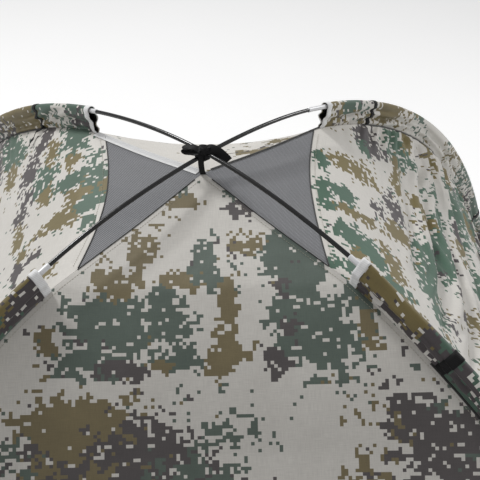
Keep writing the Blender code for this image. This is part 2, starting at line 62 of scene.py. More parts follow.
TAPE_WIDTH = 0.018
BAND_START = 0.492
BAND_WIDTH = 0.020
LOW_BAND = 1.425
SEAM_DEPTH = 0.042
SEAM_SAG = 0.014
APEX_DEPTH = 0.038
APEX_EDGE = 0.004           # the cloth comes this close to the apex
ARC_TOP = 0.95
ARC_MIDDLE = 0.46
# places along the pole of a vent's lower edge: at one corner, in the middle and at the other corner
VENT_EDGE = {"left": (0.274, 0.243, 0.277), "right": (0.279, 0.271, 0.305)}
DOOR_HALF = 0.35
DOOR_TOP = 0.92
DOOR_LAP = 0.02
FLAP_SIDE_GAP = 0.005
FLAP_BINDING = 0.010
FLAP_SPACING = 0.012        # between the rows and columns of a flap's cloth
FLAP_FOOT = 0.012
WINDOW_HALF = 0.24
WINDOW_TOP = 0.84
WINDOW_BOTTOM = 0.62
WINDOW_LAP = 0.02
FLAP_RISE = 0.0026          # a flap's cloth above its wall's
CLOTH = 0.0007              # thickness of the cloth shown
PRINT_CELL = 0.0050         # side of one square of the print
STITCH = 0.0032
STITCH_GAP = 0.0016
THREAD_RADIUS = 0.00035
SLEEVE_CROWN = 0.0072       # cloth above the pole's centre
SLEEVE_STEP = 0.006
TRIM_RISE = 0.0010          # of tape and ribbon outside a sleeve
TRIM_THICKNESS = 0.0011
# counts
INTEGRAL_STEPS = 400
ARCH_STEPS = 1600
WALL_SAMPLES = 900
SMOOTHING = 30              # samples on each side over which a wall's normal is averaged
BELOW_SEAM = 9.0            # stands for p where a wall no longer follows the pole

CORNERS = {"front_left": (-1, -1), "front_right": (1, -1), "back_left": (-1, 1), "back_right": (1, 1)}
POLES = {"a": (1, 1), "b": (1, -1)}
WALLS = ("front", "right", "back", "left")
SIDES = {"left": -1, "right": 1}
ROOT_BODY = "blind"


# ---------------------------------------------------------------- curves of the frame
def complete_integrals(k):
    """Complete elliptic integrals K and E by the midpoint rule."""
    phi = (np.arange(INTEGRAL_STEPS) + 0.5) * (math.pi / (2 * INTEGRAL_STEPS))
    root = np.sqrt(1.0 - (k * np.sin(phi)) ** 2)
    return float(np.mean(1.0 / root) * math.pi / 2), float(np.mean(root) * math.pi / 2)


def solve_modulus(span, height):
    low, high = 0.05, 0.90
    for _ in range(60):
        k = 0.5 * (low + high)
        big_k, big_e = complete_integrals(k)
        if (2 * big_e - big_k) / k > span / height:
            low = k
        else:
            high = k
    return k


def elastic_arch(span, height):
    """Arc length, radius, height and slope of a pinned elastic arch, from its top to its foot."""
    k = solve_modulus(span, height)
    rate = 2 * k / height
    ds = complete_integrals(k)[0] / rate / ARCH_STEPS
    slope, bend, r, z = 0.0, 2 * k * rate, 0.0, height
    rows = [(0.0, r, z, slope)]
    for i in range(ARCH_STEPS):
        middle = slope + 0.5 * ds * bend
        bend -= ds * rate ** 2 * math.sin(middle)
        r += ds * math.cos(middle)
        z -= ds * math.sin(middle)
        slope = middle + 0.5 * ds * bend
        rows.append(((i + 1) * ds, r, z, slope))
    table = np.array(rows)
    table[:, 1] *= (span / 2) / table[-1, 1]
    table[:, 2] = height - (height - table[:, 2]) * height / (height - table[-1, 2])
    return table


ARCH = elastic_arch(2 * ROOT2 * HALF_BASE, HEIGHT)
HALF_LENGTH = float(ARCH[-1, 0])


def arch(s):
    """Signed radius, height and slope of the arch at arc length s."""
    side = math.copysign(1.0, s)
    r, z, slope = (float(np.interp(abs(s), ARCH[:, 0], ARCH[:, c])) for c in (1, 2, 3))
    return side * r, z, side * slope


def lift(s):
    if abs(s) >= LIFT_REACH:
        return 0.0
    return CROSSING_LIFT * math.cos(math.pi * s / (2 * LIFT_REACH)) ** 2


def pole_frame(pole, s):
    """Centre, outward normal, sideways direction and tangent of a pole."""
    r, z, slope = arch(s)
    way = Vector((POLES[pole][0], POLES[pole][1], 0)) / ROOT2
    up = Vector((0, 0, 1))
    centre = way * r + up * (z + lift(s) * (1 if pole == "b" else -1))
    normal = way * math.sin(slope) + up * math.cos(slope)
    tangent = way * math.cos(slope) - up * math.sin(slope)
    return centre, normal, normal.cross(tangent), tangent


def corner_pole(corner):
    x, y = CORNERS[corner]
    return ("a" if x == y else "b"), x


def seam(p):
    """Radius and height of the wall seam below the pole at p."""
    r, z, slope = arch(p)
    depth = SEAM_DEPTH
    if p < CENTRE_JOINT:
        blend = p / CENTRE_JOINT
        depth = APEX_DEPTH + (SEAM_DEPTH - APEX_DEPTH) * blend + SEAM_SAG * math.sin(math.pi * blend)
    return r - depth * math.sin(slope), z - depth * math.cos(slope)


def seam_at_height(z):
    places = np.linspace(CENTRE_JOINT, HALF_LENGTH, 2000)
    p = next(v for v in places if seam(v)[1] <= z)
    return p, Vector((seam(p)[0] / ROOT2, z))


def wall_table():
    """Rows of (arc length, distance out, height, normal out, normal up, p) down the middle of a wall.

    Also the centre and radius of the arc below ARC_TOP."""
    p_join, top = seam_at_height(ARC_TOP)
    middle, foot = seam_at_height(ARC_MIDDLE)[1], seam_at_height(0.0)[1]
    rows = np.array([2 * (middle - top), 2 * (foot - top)])
    squares = np.array([point.length_squared - top.length_squared for point in (middle, foot)])
    centre = Vector(np.linalg.solve(rows, squares))
    radius = (top - centre).length
    upper = [(*seam(p), p) for p in np.linspace(APEX_EDGE, p_join, WALL_SAMPLES)]
    points = [(r / ROOT2, z, p) for r, z, p in upper]
    first, last = math.asin((ARC_TOP - centre.y) / radius), math.asin(-centre.y / radius)
    for a in np.linspace(first, last, WALL_SAMPLES)[1:]:
        points.append((centre.x + radius * math.cos(a), centre.y + radius * math.sin(a), BELOW_SEAM))
    pts = np.array(points)
    v = np.concatenate([[0], np.cumsum(np.hypot(np.diff(pts[:, 0]), np.diff(pts[:, 1])))])
    tangent = np.stack([np.gradient(pts[:, 0], v), np.gradient(pts[:, 1], v)], 1)
    kernel = np.hanning(2 * SMOOTHING + 1)
    kernel /= kernel.sum()
    padded = [np.pad(tangent[:, c], SMOOTHING, mode="edge") for c in (0, 1)]
    smooth = np.stack([np.convolve(column, kernel, "valid") for column in padded], 1)
    smooth /= np.linalg.norm(smooth, axis=1)[:, None]
    return np.column_stack([v, pts[:, 0], pts[:, 1], -smooth[:, 1], smooth[:, 0], pts[:, 2]]), centre, radius


WALL, ARC_CENTRE, ARC_RADIUS = wall_table()
WALL_LENGTH = float(WALL[-1, 0])


def wall_at(v, column):
    """A column of the wall table at arc length v: 1 out, 2 height, 3 normal out, 4 normal up."""
    return np.interp(v, WALL[:, 0], WALL[:, column])


def v_at_height(z):
    return float(np.interp(-z, -WALL[:, 2], WALL[:, 0]))


def v_at_p(p):
    return np.interp(p, WALL[:, 5], WALL[:, 0])


def place(wall, across, out, height):
    """World points on a wall, seen from outside with across to the right. Works on arrays."""
    ways = {"front": (across, -out), "right": (out, across),
            "back": (-across, out), "left": (-out, -across)}
    x, y = ways[wall]
    return np.stack(np.broadcast_arrays(x, y, height), -1).astype(float)


def wall_depth(s):
    """Depth below the pole at which the two walls meet."""
    r, z, slope = arch(s)
    low, high = 0.02, 0.08
    for _ in range(30):
        depth = 0.5 * (low + high)
        v = v_at_height(z - depth * math.cos(slope))
        if r - depth * math.sin(slope) > ROOT2 * wall_at(v, 1):
            low = depth
        else:
            high = depth
    return depth


# ---------------------------------------------------------------- smooth noise on arrays
def lattice(ix, iy, seed):
    """Repeatable values from 0 to 1 at whole-number places."""
    h = (ix.astype(np.int64) * 374761393 + iy.astype(np.int64) * 668265263 + seed * 974634777) & 0xFFFFFFFF
    h = ((h ^ (h >> 13)) * 1274126177) & 0xFFFFFFFF
    return ((h ^ (h >> 16)) & 0xFFFF) / 65535.0


def soft_noise(x, y, seed):
    """Smooth noise from -1 to 1, one bump per unit."""
    x, y = np.broadcast_arrays(np.asarray(x, float), np.asarray(y, float))
    ix, iy = np.floor(x), np.floor(y)
    fx, fy = x - ix, y - iy
    fx, fy = fx * fx * (3 - 2 * fx), fy * fy * (3 - 2 * fy)
    a, b = lattice(ix, iy, seed), lattice(ix + 1, iy, seed)
    c, d = lattice(ix, iy + 1, seed), lattice(ix + 1, iy + 1, seed)
    return 2 * ((a * (1 - fx) + b * fx) * (1 - fy) + (c * (1 - fx) + d * fx) * fy) - 1


def step_up(x, start, end):
    t = np.clip((x - start) / (end - start), 0, 1)
    return t * t * (3 - 2 * t)


# ---------------------------------------------------------------- mesh helpers
def new_object(name, data):
    obj = bpy.data.objects.new(name, data)
    bpy.context.scene.collection.objects.link(obj)
    return obj


def run_lengths(points):
    """Distance from the first point to each point, along the line."""
    steps = np.linalg.norm(np.diff(points, axis=0), axis=1)
    return np.concatenate([[0], np.cumsum(steps)])


def new_piece(name, verts, faces, mat, body=ROOT_BODY, uvs=None, smooth=True, thickness=0.0):
    """A mesh piece that rides on a body. uvs has one (u, v) in metres for each vertex."""
    mesh = bpy.data.meshes.new(name)
    mesh.from_pydata([tuple(v) for v in verts], [], [tuple(int(i) for i in f) for f in faces])
    if uvs is not None:
        layer = mesh.uv_layers.new(name="print")
        index = np.empty(len(mesh.loops), dtype=np.int64)
        mesh.loops.foreach_get("vertex_index", index)
        layer.data.foreach_set("uv", np.asarray(uvs, float)[index].ravel())
    mesh.polygons.foreach_set("use_smooth", [smooth] * len(mesh.polygons))
    for each in (mat if isinstance(mat, list) else [mat]):
        mesh.materials.append(each)
    obj = new_object(name, mesh)
    if thickness:
        solid = obj.modifiers.new("thickness", "SOLIDIFY")
        solid.thickness = thickness
        solid.offset = 0.0
    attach(obj, body)
    return obj


def grid_faces(rows, columns, keep=None, wrap=False):
    """Quads of a grid of points stored row by row."""
    faces = []
    for i in range(rows - 1):
        for j in range(columns if wrap else columns - 1):
            if keep is None or keep(i, j):
                k = (j + 1) % columns
                near, far = i * columns, (i + 1) * columns
                faces.append((near + j, near + k, far + k, far + j))
    return faces


def face_outward(mesh, sharp_angle):
    """Turns a closed mesh's faces outward, and keeps its edges sharp beyond an angle in degrees."""
    bm = bmesh.new()
    bm.from_mesh(mesh)
    bmesh.ops.recalc_face_normals(bm, faces=bm.faces)
    bm.to_mesh(mesh)
    bm.free()
    mesh.set_sharp_from_angle(angle=math.radians(sharp_angle))


def sweep(name, frames, outline, mat, body, uvs=None):
    """A closed outline of (across, out) points, carried through frames of (centre, out, across)."""
    count = len(outline)
    verts = [c + s * a + n * o for c, n, s in frames for a, o in outline]
    faces = [(f[3], f[2], f[1], f[0]) for f in grid_faces(len(frames), count, wrap=True)]
    last = (len(frames) - 1) * count
    faces.append(tuple(range(count)))
    faces.append(tuple(last + i for i in reversed(range(count))))
    obj = new_piece(name, verts, faces, mat, body, uvs=uvs)
    face_outward(obj.data, 45)
    return obj


def circle(radius, sides):
    return [(radius * math.cos(2 * math.pi * i / sides), radius * math.sin(2 * math.pi * i / sides))
            for i in range(sides)]


def flat_outline(width, thickness):
    """A ribbon's section, with rounded edges."""
    w, t = width / 2, thickness / 2
    return [(-w + t, -t), (0.0, -t), (w - t, -t), (w, 0.0), (w - t, t), (0.0, t), (-w + t, t), (-w, 0.0)]


def smooth_path(points, per_span):
    """Catmull-Rom curve through points."""
    pts = [Vector(p) for p in points]
    pts = [pts[0] * 2 - pts[1]] + pts + [pts[-1] * 2 - pts[-2]]
    out = []
    for i in range(1, len(pts) - 2):
        a, b, c, d = pts[i - 1:i + 3]
        for k in range(per_span):
            t = k / per_span
            out.append(0.5 * ((2 * b) + (c - a) * t + (2 * a - 5 * b + 4 * c - d) * t * t
                              + (3 * b - a - 3 * c + d) * t ** 3))
    return out + [pts[-2]]


def ribbon(name, points, across, width, thickness, mat, body=ROOT_BODY, per_span=8):
    """A flat ribbon along a smooth curve. across gives its width direction at each point."""
    line = smooth_path(points, per_span)
    wide = smooth_path(across, per_span)
    frames = []
    for i, point in enumerate(line):
        tangent = (line[min(i + 1, len(line) - 1)] - line[max(i - 1, 0)]).normalized()
        side = (wide[i] - tangent * wide[i].dot(tangent)).normalized()
        frames.append((point, tangent.cross(side).normalized(), side))
    return sweep(name, frames, flat_outline(width, thickness), mat, body)


def stitches(name, points, normals):
    """A row of thread stitches along a line of points, each a small rounded bar."""
    pts = np.array([tuple(p) for p in points])
    nor = np.array([tuple(n) for n in normals])
    dist = run_lengths(pts)
    starts = np.arange(0.002, dist[-1] - STITCH, STITCH + STITCH_GAP)

    def at(d, table):
        return np.stack([np.interp(d, dist, table[:, c]) for c in range(3)], 1)

    a, b, n = at(starts, pts), at(starts + STITCH, pts), at(starts, nor)
    along = (b - a) / np.linalg.norm(b - a, axis=1)[:, None]
    side = np.cross(along, n)
    verts, faces = [], []
    for k in range(len(starts)):
        base = len(verts)
        for share, grow in ((0.0, 0.4), (0.2, 1.0), (0.8, 1.0), (1.0, 0.4)):
            centre = a[k] + (b[k] - a[k]) * share
            for angle in (0.0, 0.5, 1.0, 1.5):
                c, s = math.cos(angle * math.pi), math.sin(angle * math.pi)
                verts.append(centre + THREAD_RADIUS * grow * (c * side[k] + s * n[k]))
        for ring in range(3):
            for i in range(4):
                j = (i + 1) % 4
                r = base + ring * 4
                faces.append((r + i, r + j, r + 4 + j, r + 4 + i))
        faces += [(base + 3, base + 2, base + 1, base), (base + 12, base + 13, base + 14, base + 15)]
    new_piece(name, verts, faces, THREAD)


# ---------------------------------------------------------------- materials
class Tree:
    """Short forms for building a material's nodes."""

    def __init__(self, name):
        self.mat = bpy.data.materials.new(name)
        self.mat.use_nodes = True
        self.nodes = self.mat.node_tree.nodes
        self.links = self.mat.node_tree.links
        self.shader = self.nodes["Principled BSDF"]

    def add(self, kind, values=None, **props):
        node = self.nodes.new(kind)
        for key, value in props.items():
            setattr(node, key, value)
        for key, value in (values or {}).items():
            self.put(node.inputs[key], value)
        return node

    def on_object(self):
        return self.add("ShaderNodeTexCoord").outputs["Object"]

    def on_print(self):
        return self.add("ShaderNodeUVMap", uv_map="print").outputs[0]

    def put(self, socket, value):
        if isinstance(value, bpy.types.NodeSocket):
            self.links.new(value, socket)
        else:
            socket.default_value = value

    def math(self, operation, *values, clamp=False):
        node = self.add("ShaderNodeMath", operation=operation, use_clamp=clamp)
        for socket, value in zip(node.inputs, values):
            self.put(socket, value)
        return node.outputs[0]

    def vector(self, operation, *values):
        node = self.add("ShaderNodeVectorMath", operation=operation)
        for socket, value in zip(node.inputs, values):
            self.put(socket, value)
        return node.outputs[0]

    def noise(self, where, scale, detail, rough=0.5, offset=(0, 0, 0)):
        moved = self.vector("ADD", where, offset) if offset != (0, 0, 0) else where
        node = self.add("ShaderNodeTexNoise", {"Vector": moved, "Scale": scale, "Detail": detail,
                                               "Roughness": rough}, noise_dimensions="3D")
        return node.outputs["Fac"]

    def white(self, where, offset):
        node = self.add("ShaderNodeTexWhiteNoise", noise_dimensions="3D")
        self.put(node.inputs["Vector"], self.vector("ADD", where, offset))
        return node.outputs["Value"]

    def mix(self, factor, a, b):
        node = self.add("ShaderNodeMix", data_type="RGBA")
        self.put(node.inputs[0], factor)
        self.put(node.inputs[6], a)
        self.put(node.inputs[7], b)
        return node.outputs[2]

    def scaled_colour(self, colour, factor):
        node = self.add("ShaderNodeMix", data_type="RGBA", blend_type="MULTIPLY")
        node.inputs[0].default_value = 1.0
        self.put(node.inputs[6], colour)
        grey = self.add("ShaderNodeCombineColor")
        for socket in grey.inputs[:3]:
            self.put(socket, factor)
        self.put(node.inputs[7], grey.outputs[0])
        return node.outputs[2]

    def bump(self, height, strength, distance, normal=None):
        node = self.add("ShaderNodeBump", {"Height": height, "Strength": strength, "Distance": distance})
        if normal is not None:
            self.put(node.inputs["Normal"], normal)
        return node.outputs["Normal"]

    def finish(self, colour, roughness, normal=None, **plain):
        self.put(self.shader.inputs["Base Color"], colour)
        self.put(self.shader.inputs["Roughness"], roughness)
        if normal is not None:
            self.put(self.shader.inputs["Normal"], normal)
        for key, value in plain.items():
            self.shader.inputs[key.replace("_", " ")].default_value = value
        return self.mat


def rgb(red, green, blue):
    """Linear colour from display values out of 255."""
    def linear(c):
        c /= 255.0
        return c / 12.92 if c <= 0.04045 else ((c + 0.055) / 1.055) ** 2.4
    return (linear(red), linear(green), linear(blue), 1.0)


INK_START = {"green": -0.520, "olive": -0.532, "black": -0.565}
INK_EDGE = 0.560            # a square is printed where its best score passes this
BLOTCH_NOISE = ((5.2, 0.45), (21.0, 0.50), (66.0, 0.70))    # scale and share of each noise
MESH_PITCH = 0.0027


def blotch_swell(t, middle, patches, spread):
    """How near a square is to the middle of the nearest placed blotch."""
    best = 0.0
    for across, at, wide, tall, turn in patches:
        spot = t.add("ShaderNodeMapping", {"Vector": middle, "Location": (across / 1000, at / 1000, 0.0),
                                           "Rotation": (0.0, 0.0, math.radians(turn)),
                                           "Scale": (wide / 1000 * spread, tall / 1000 * spread, 1.0)},
                     vector_type="TEXTURE").outputs[0]
        swell = t.add("ShaderNodeTexGradient", {"Vector": spot}, gradient_type="SPHERICAL").outputs[1]
        best = t.math("MAXIMUM", swell, best)
    return best


def ink_scores(t, middle, cell, free, shift, patches, spread):
    """Each ink's score at a square: noise of three sizes, chance where it is free, and placed blotches."""
    scores = {}
    for n, ink in enumerate(("green", "olive", "black")):
        depth = (shift[0] + 11.0 * n, shift[1] + 7.0 * n, 3.0 * n)
        score = INK_START[ink]
        for size, share in BLOTCH_NOISE:
            score = t.math("MULTIPLY_ADD", t.noise(middle, size, 1.0, 0.5, depth), share, score)
        broad = t.noise(middle, 4.4, 0.0, 0.5, (depth[1], depth[0], 5.0))
        wander = t.math("MULTIPLY_ADD", broad, 1.1, -0.44)
        score = t.math("MULTIPLY_ADD", free, wander, score)
        score = t.math("MULTIPLY_ADD", t.white(cell, (0.5 + n, 0.5, 1.5 + n)), 0.11, score)
        swell = blotch_swell(t, middle, patches[ink], spread)
        scores[ink] = t.math("MULTIPLY_ADD", swell, 0.50, score)
    return scores


def inked_squares(t, top, cell, pair):
    """1 where a square is printed: inside a blotch but for a few holes, and some strays by its edge."""
    near = t.math("GREATER_THAN", top, INK_EDGE - 0.045)
    dots = t.math("MULTIPLY", near, t.math("GREATER_THAN", t.white(cell, (7.5, 2.5, 3.5)), 0.86))
    bars = t.math("MULTIPLY", near, t.math("GREATER_THAN", t.white(pair, (1.5, 9.5, 6.5)), 0.955))
    inner = t.math("LESS_THAN", top, INK_EDGE + 0.07)
    chance = t.math("MULTIPLY_ADD", inner, 0.09, t.white(cell, (3.5, 4.5, 5.5)))
    holes = t.math("GREATER_THAN", chance, 0.972)
    chance = t.math("MULTIPLY_ADD", inner, 0.04, t.white(pair, (8.5, 6.5, 2.5)))
    long_holes = t.math("GREATER_THAN", chance, 0.985)
    printed = t.math("GREATER_THAN", top, INK_EDGE)
    inked = t.math("MAXIMUM", printed, t.math("MAXIMUM", dots, bars))
    bare = t.math("MULTIPLY", printed, t.math("MAXIMUM", holes, long_holes))
    return t.math("SUBTRACT", inked, bare, clamp=True)


def camo_cloth(name, shift, patches, free_from, painted_light_wash=0.0, spread=1.42, rich=0.0, painted_shade=0.0):
    """Coated cloth with a print of small squares gathered into blotches of three colours.

    patches has, for each colour, the places of its largest blotches. Beyond free_from metres down, the
    blotches fall by chance.
    painted_light_wash washes the inks out toward the ground, a painted wash of light; spread widens the
    placed blotches, rich deepens the green and the olive, and painted_shade darkens the whole cloth a
    little, painted shade."""
    t = Tree(name)
    where = t.on_print()
    cells = t.vector("DIVIDE", where, (PRINT_CELL, PRINT_CELL, 1.0))
    cell = t.vector("FLOOR", cells)
    middle = t.vector("MULTIPLY", t.vector("ADD", cell, (0.5, 0.5, 0.0)), (PRINT_CELL, PRINT_CELL, 0.0))
    pair = t.vector("FLOOR", t.vector("MULTIPLY", cells, (0.5, 1.0, 1.0)))
    down = t.add("ShaderNodeSeparateXYZ", {"Vector": middle}).outputs[1]
    free = t.add("ShaderNodeMapRange", {"Value": down, "From Min": free_from - 0.02,
                                        "From Max": free_from + 0.05}).outputs[0]
    scores = ink_scores(t, middle, cell, free, shift, patches, spread)
    top = t.math("MAXIMUM", scores["green"], t.math("MAXIMUM", scores["olive"], scores["black"]))
    brown = t.math("GREATER_THAN", scores["olive"], scores["green"])
    dark = t.math("GREATER_THAN", scores["black"], t.math("MAXIMUM", scores["green"], scores["olive"]))
    inked = inked_squares(t, top, cell, pair)
    tone = t.noise(where, 9.0, 3.0, 0.6)
    green = t.mix(tone, rgb(57, 74, 65), rgb(88, 105, 95))
    olive = t.mix(tone, rgb(94, 82, 48), rgb(128, 114, 74))
    black = t.mix(tone, rgb(54, 48, 50), rgb(80, 73, 75))
    ground = t.mix(tone, rgb(205, 201, 194), rgb(218, 215, 209))
    green = t.mix(rich, green, t.mix(tone, rgb(44, 80, 60), rgb(78, 116, 94)))
    olive = t.mix(rich, olive, t.mix(tone, rgb(98, 84, 36), rgb(132, 119, 66)))
    ink = t.mix(dark, t.mix(brown, green, olive), black)
    # Painted light: the inks are washed out toward the ground colour, as glare on a brightly lit wall would.
    ink = t.mix(painted_light_wash, ink, ground)
    colour = t.mix(inked, ground, ink)
    threads = t.noise(t.vector("MULTIPLY", where, (1.0, 0.06, 1.0)), 900.0, 1.0)
    cross = t.noise(t.vector("MULTIPLY", where, (0.06, 1.0, 1.0)), 900.0, 1.0, 0.5, (3.0, 3.0, 0.0))
    weave = t.math("ADD", threads, cross)
    # The weave's faint tone; the lowered base is painted shade that darkens the whole cloth of a wall that
    # gets less light.
    colour = t.scaled_colour(colour, t.math("MULTIPLY_ADD", weave, 0.22, 0.78 - painted_shade))
    crumple = t.noise(where, 34.0, 3.0, 0.55)
    normal = t.bump(crumple, 0.35, 0.0022)
    normal = t.bump(weave, 0.25, 0.0003, normal)
    rough = t.math("MULTIPLY_ADD", tone, 0.2, 0.48)
    return t.finish(colour, rough, normal, Sheen_Weight=0.12, Sheen_Roughness=0.5)


def mesh_cloth(name):
    """Fine insect mesh: crossed threads with a faint see-through between them."""
    t = Tree(name)
    where = t.on_print()
    turn = (0.0, 0.0, math.radians(38))
    turned = t.add("ShaderNodeMapping", {"Vector": where, "Rotation": turn}).outputs[0]
    split = t.add("ShaderNodeSeparateXYZ", {"Vector": turned})
    lines = []
    for socket in (split.outputs[0], split.outputs[1]):
        wave = t.math("SINE", t.math("MULTIPLY", socket, 2 * math.pi / MESH_PITCH))
        lines.append(t.math("MULTIPLY_ADD", wave, 0.5, 0.5))
    net = t.math("MULTIPLY", lines[0], lines[1])
    cloud = t.noise(turned, 6.0, 2.0)
    colour = t.mix(net, rgb(100, 101, 105), rgb(176, 177, 180))
    colour = t.scaled_colour(colour, t.math("MULTIPLY_ADD", cloud, 0.2, 0.9))
    normal = t.bump(net, 0.5, 0.0006)
    t.finish(colour, 0.75, normal, Sheen_Weight=0.2)
    t.put(t.shader.inputs["Alpha"], t.math("MULTIPLY_ADD", net, 0.25, 0.80))
    return t.mat


def woven(name, dark, light, pitch, rough, strength=0.6, sheen=0.2):
    """Ribbon, tape and webbing: ribs across the strip, in object space."""
    t = Tree(name)
    where = t.on_object()
    ribs = t.add("ShaderNodeTexWave", {"Vector": where, "Scale": 1.0 / (pitch * 6.0), "Distortion": 1.5,
                                       "Detail": 1.0}, bands_direction="DIAGONAL").outputs["Fac"]
    fuzz = t.noise(where, 420.0, 3.0, 0.6)
    colour = t.mix(t.math("MULTIPLY_ADD", ribs, 0.5, t.math("MULTIPLY", fuzz, 0.5)), dark, light)
    normal = t.bump(ribs, strength, 0.0003)
    normal = t.bump(fuzz, 0.3, 0.0003, normal)
    return t.finish(colour, rough, normal, Sheen_Weight=sheen)


def rod_finish(name):
    """Black pultruded fibreglass: gloss with faint lengthwise streaks and scuffs."""
    t = Tree(name)
    where = t.on_object()
    scuff = t.noise(where, 90.0, 4.0, 0.65)
    worn = t.math("GREATER_THAN", scuff, 0.66)
    colour = t.mix(worn, rgb(14, 14, 15), rgb(34, 34, 34))
    rough = t.math("MULTIPLY_ADD", scuff, 0.16, 0.14)
    normal = t.bump(t.noise(where, 500.0, 2.0), 0.08, 0.0002)
    return t.finish(colour, rough, normal, Specular_IOR_Level=0.7)


def metal(name, dark, light, metallic, rough):
    t = Tree(name)
    where = t.on_object()
    brushed = t.noise(t.vector("MULTIPLY", where, (1.0, 1.0, 0.15)), 700.0, 2.0)
    stains = t.noise(where, 60.0, 3.0, 0.6)
    colour = t.mix(stains, dark, light)
    normal = t.bump(brushed, 0.15, 0.0002)
    return t.finish(colour, t.math("MULTIPLY_ADD", stains, 0.2, rough), normal, Metallic=metallic)


def plastic(name, dark, light, rough):
    t = Tree(name)
    where = t.on_object()
    grain = t.noise(where, 900.0, 3.0, 0.6)
    normal = t.bump(grain, 0.25, 0.0002)
    return t.finish(t.mix(grain, dark, light), rough, normal)


# places of the print's largest blotches, in millimetres and degrees: (across, down, half width,
# half height, turn)
BLOTCHES = {
    "front": {
        "green": [(-130, 270, 90, 60, 0), (-60, 260, 50, 50, 0), (0, 170, 25, 50, 15),
                  (140, 180, 45, 90, -20), (170, 290, 70, 90, 0), (-36, 36, 14, 20, 0),
                  (40, 40, 14, 22, 0), (-30, 320, 30, 20, 0), (230, 240, 30, 40, -40),
                  (-170, 330, 50, 30, 0)],
        "olive": [(-90, 150, 28, 45, 10), (-130, 210, 50, 35, 0), (-40, 205, 40, 18, 0),
                  (-220, 300, 25, 30, 0), (-30, 60, 35, 30, 0), (70, 140, 35, 35, 30),
                  (35, 250, 16, 60, 0), (30, 325, 35, 30, 0), (235, 270, 22, 50, 0),
                  (-60, 335, 22, 15, 0)],
        "black": [(145, 165, 22, 30, 0), (130, 280, 30, 30, 0), (100, 330, 28, 30, 0),
                  (-130, 340, 50, 16, 0), (55, 75, 22, 22, 0), (120, 220, 14, 20, 0)],
    },
    "right": {
        "green": [(-90, 260, 30, 70, 25), (-170, 300, 18, 100, 0), (10, 210, 50, 22, 0),
                  (30, 250, 30, 30, 0), (110, 215, 30, 18, 0), (-100, 440, 120, 30, 8),
                  (10, 475, 70, 30, 10), (350, 450, 60, 50, 0), (100, 550, 100, 30, 10),
                  (280, 590, 120, 20, 5), (240, 330, 30, 20, 0), (360, 700, 140, 40, 15),
                  (50, 680, 100, 30, 0), (540, 860, 120, 50, 20), (-260, 600, 60, 50, 0)],
        "olive": [(-220, 310, 50, 60, 0), (-110, 330, 50, 25, 0), (-120, 260, 20, 20, 0),
                  (-10, 270, 18, 60, 0), (20, 385, 22, 30, 0), (140, 290, 28, 55, 0),
                  (240, 430, 70, 16, 10), (180, 520, 30, 40, 30), (410, 490, 60, 20, 10),
                  (450, 600, 80, 30, 10), (160, 640, 70, 20, 10), (420, 800, 100, 30, 20),
                  (-120, 600, 80, 30, 0), (550, 720, 70, 30, 10)],
        "black": [(270, 350, 50, 45, 20), (100, 390, 45, 25, 0), (55, 340, 20, 20, 0),
                  (-150, 475, 50, 18, 20), (80, 530, 60, 14, 0), (130, 600, 60, 14, 0),
                  (260, 660, 70, 16, 10), (480, 760, 60, 20, 10), (-50, 560, 50, 14, 0)],
    },
    "left": {
        "green": [(-230, 255, 60, 30, -15), (-60, 190, 50, 22, 0), (-80, 250, 20, 50, 0),
                  (20, 200, 22, 35, 0), (-140, 320, 40, 30, 0), (60, 190, 20, 14, 0),
                  (-360, 460, 70, 30, -20), (-310, 430, 30, 20, 0)],
        "olive": [(-150, 250, 40, 18, -10), (-30, 200, 18, 40, 0), (30, 250, 25, 40, 0),
                  (-210, 310, 50, 22, -10), (-80, 310, 35, 18, 0), (160, 250, 30, 30, 0),
                  (0, 360, 45, 14, -10), (70, 330, 25, 16, 0), (-280, 450, 50, 18, -10)],
        "black": [(-280, 340, 40, 18, 20), (-200, 375, 50, 18, 10), (-90, 365, 50, 22, 0),
                  (120, 325, 40, 12, -10), (100, 295, 18, 14, 0)],
    },
    "back": {
        "green": [(180, 310, 50, 40, 0), (-220, 340, 60, 30, 0), (20, 240, 30, 16, 0)],
        "olive": [(-100, 115, 50, 28, 0), (240, 340, 50, 30, 0), (-60, 300, 50, 20, 0),
                  (-155, 175, 50, 22, 0)],
        "black": [(-75, 122, 28, 12, 0), (80, 330, 40, 16, 0), (-130, 150, 25, 10, 0)],
    },
    "sleeve": {
        "green": [(4830, 50, 40, 30, 0), (5050, 45, 50, 40, 0), (2020, 45, 50, 40, 0),
                  (470, 45, 30, 50, 0), (1860, 45, 30, 50, 0), (3090, 45, 30, 40, 0),
                  (3200, 45, 30, 50, 0), (4510, 45, 35, 50, 0)],
        "olive": [(380, 45, 30, 30, 0), (1780, 45, 55, 60, 0), (430, 50, 30, 40, 0),
                  (4680, 45, 50, 50, 0), (4930, 30, 50, 30, 0), (2120, 60, 50, 30, 0),
                  (3360, 45, 50, 30, 0)],
        "black": [(360, 80, 30, 20, 0), (1760, 20, 20, 8, 0), (3140, 20, 20, 12, 0)],
    },
}
CAMO = {
    # The front cloth is a darker copy, painted shade, with its inks washed out as painted light; the left
    # cloth's inks are washed out a little as painted light.
    "front": camo_cloth("camo_front_painted_shade", (0.33, 0.10), BLOTCHES["front"], 0.37, painted_light_wash=0.06, painted_shade=0.08),
    "right": camo_cloth("camo_right", (1.93, 8.35), BLOTCHES["right"], 0.76, spread=1.75, rich=0.8),
    "left": camo_cloth("camo_left_painted_light", (7.13, 2.44), BLOTCHES["left"], 0.46, painted_light_wash=0.03, spread=1.88, rich=0.6),
    "back": camo_cloth("camo_back", (3.71, 5.20), BLOTCHES["back"], 0.36),
    "sleeve": camo_cloth("camo_sleeve", (5.07, 6.61), BLOTCHES["sleeve"], -1.0, rich=0.4),
}
MESH = mesh_cloth("grey_insect_mesh")
WHITE_TAPE = woven("white_binding_tape", rgb(226, 226, 226), rgb(246, 246, 246), 0.0012, 0.55, 0.25)
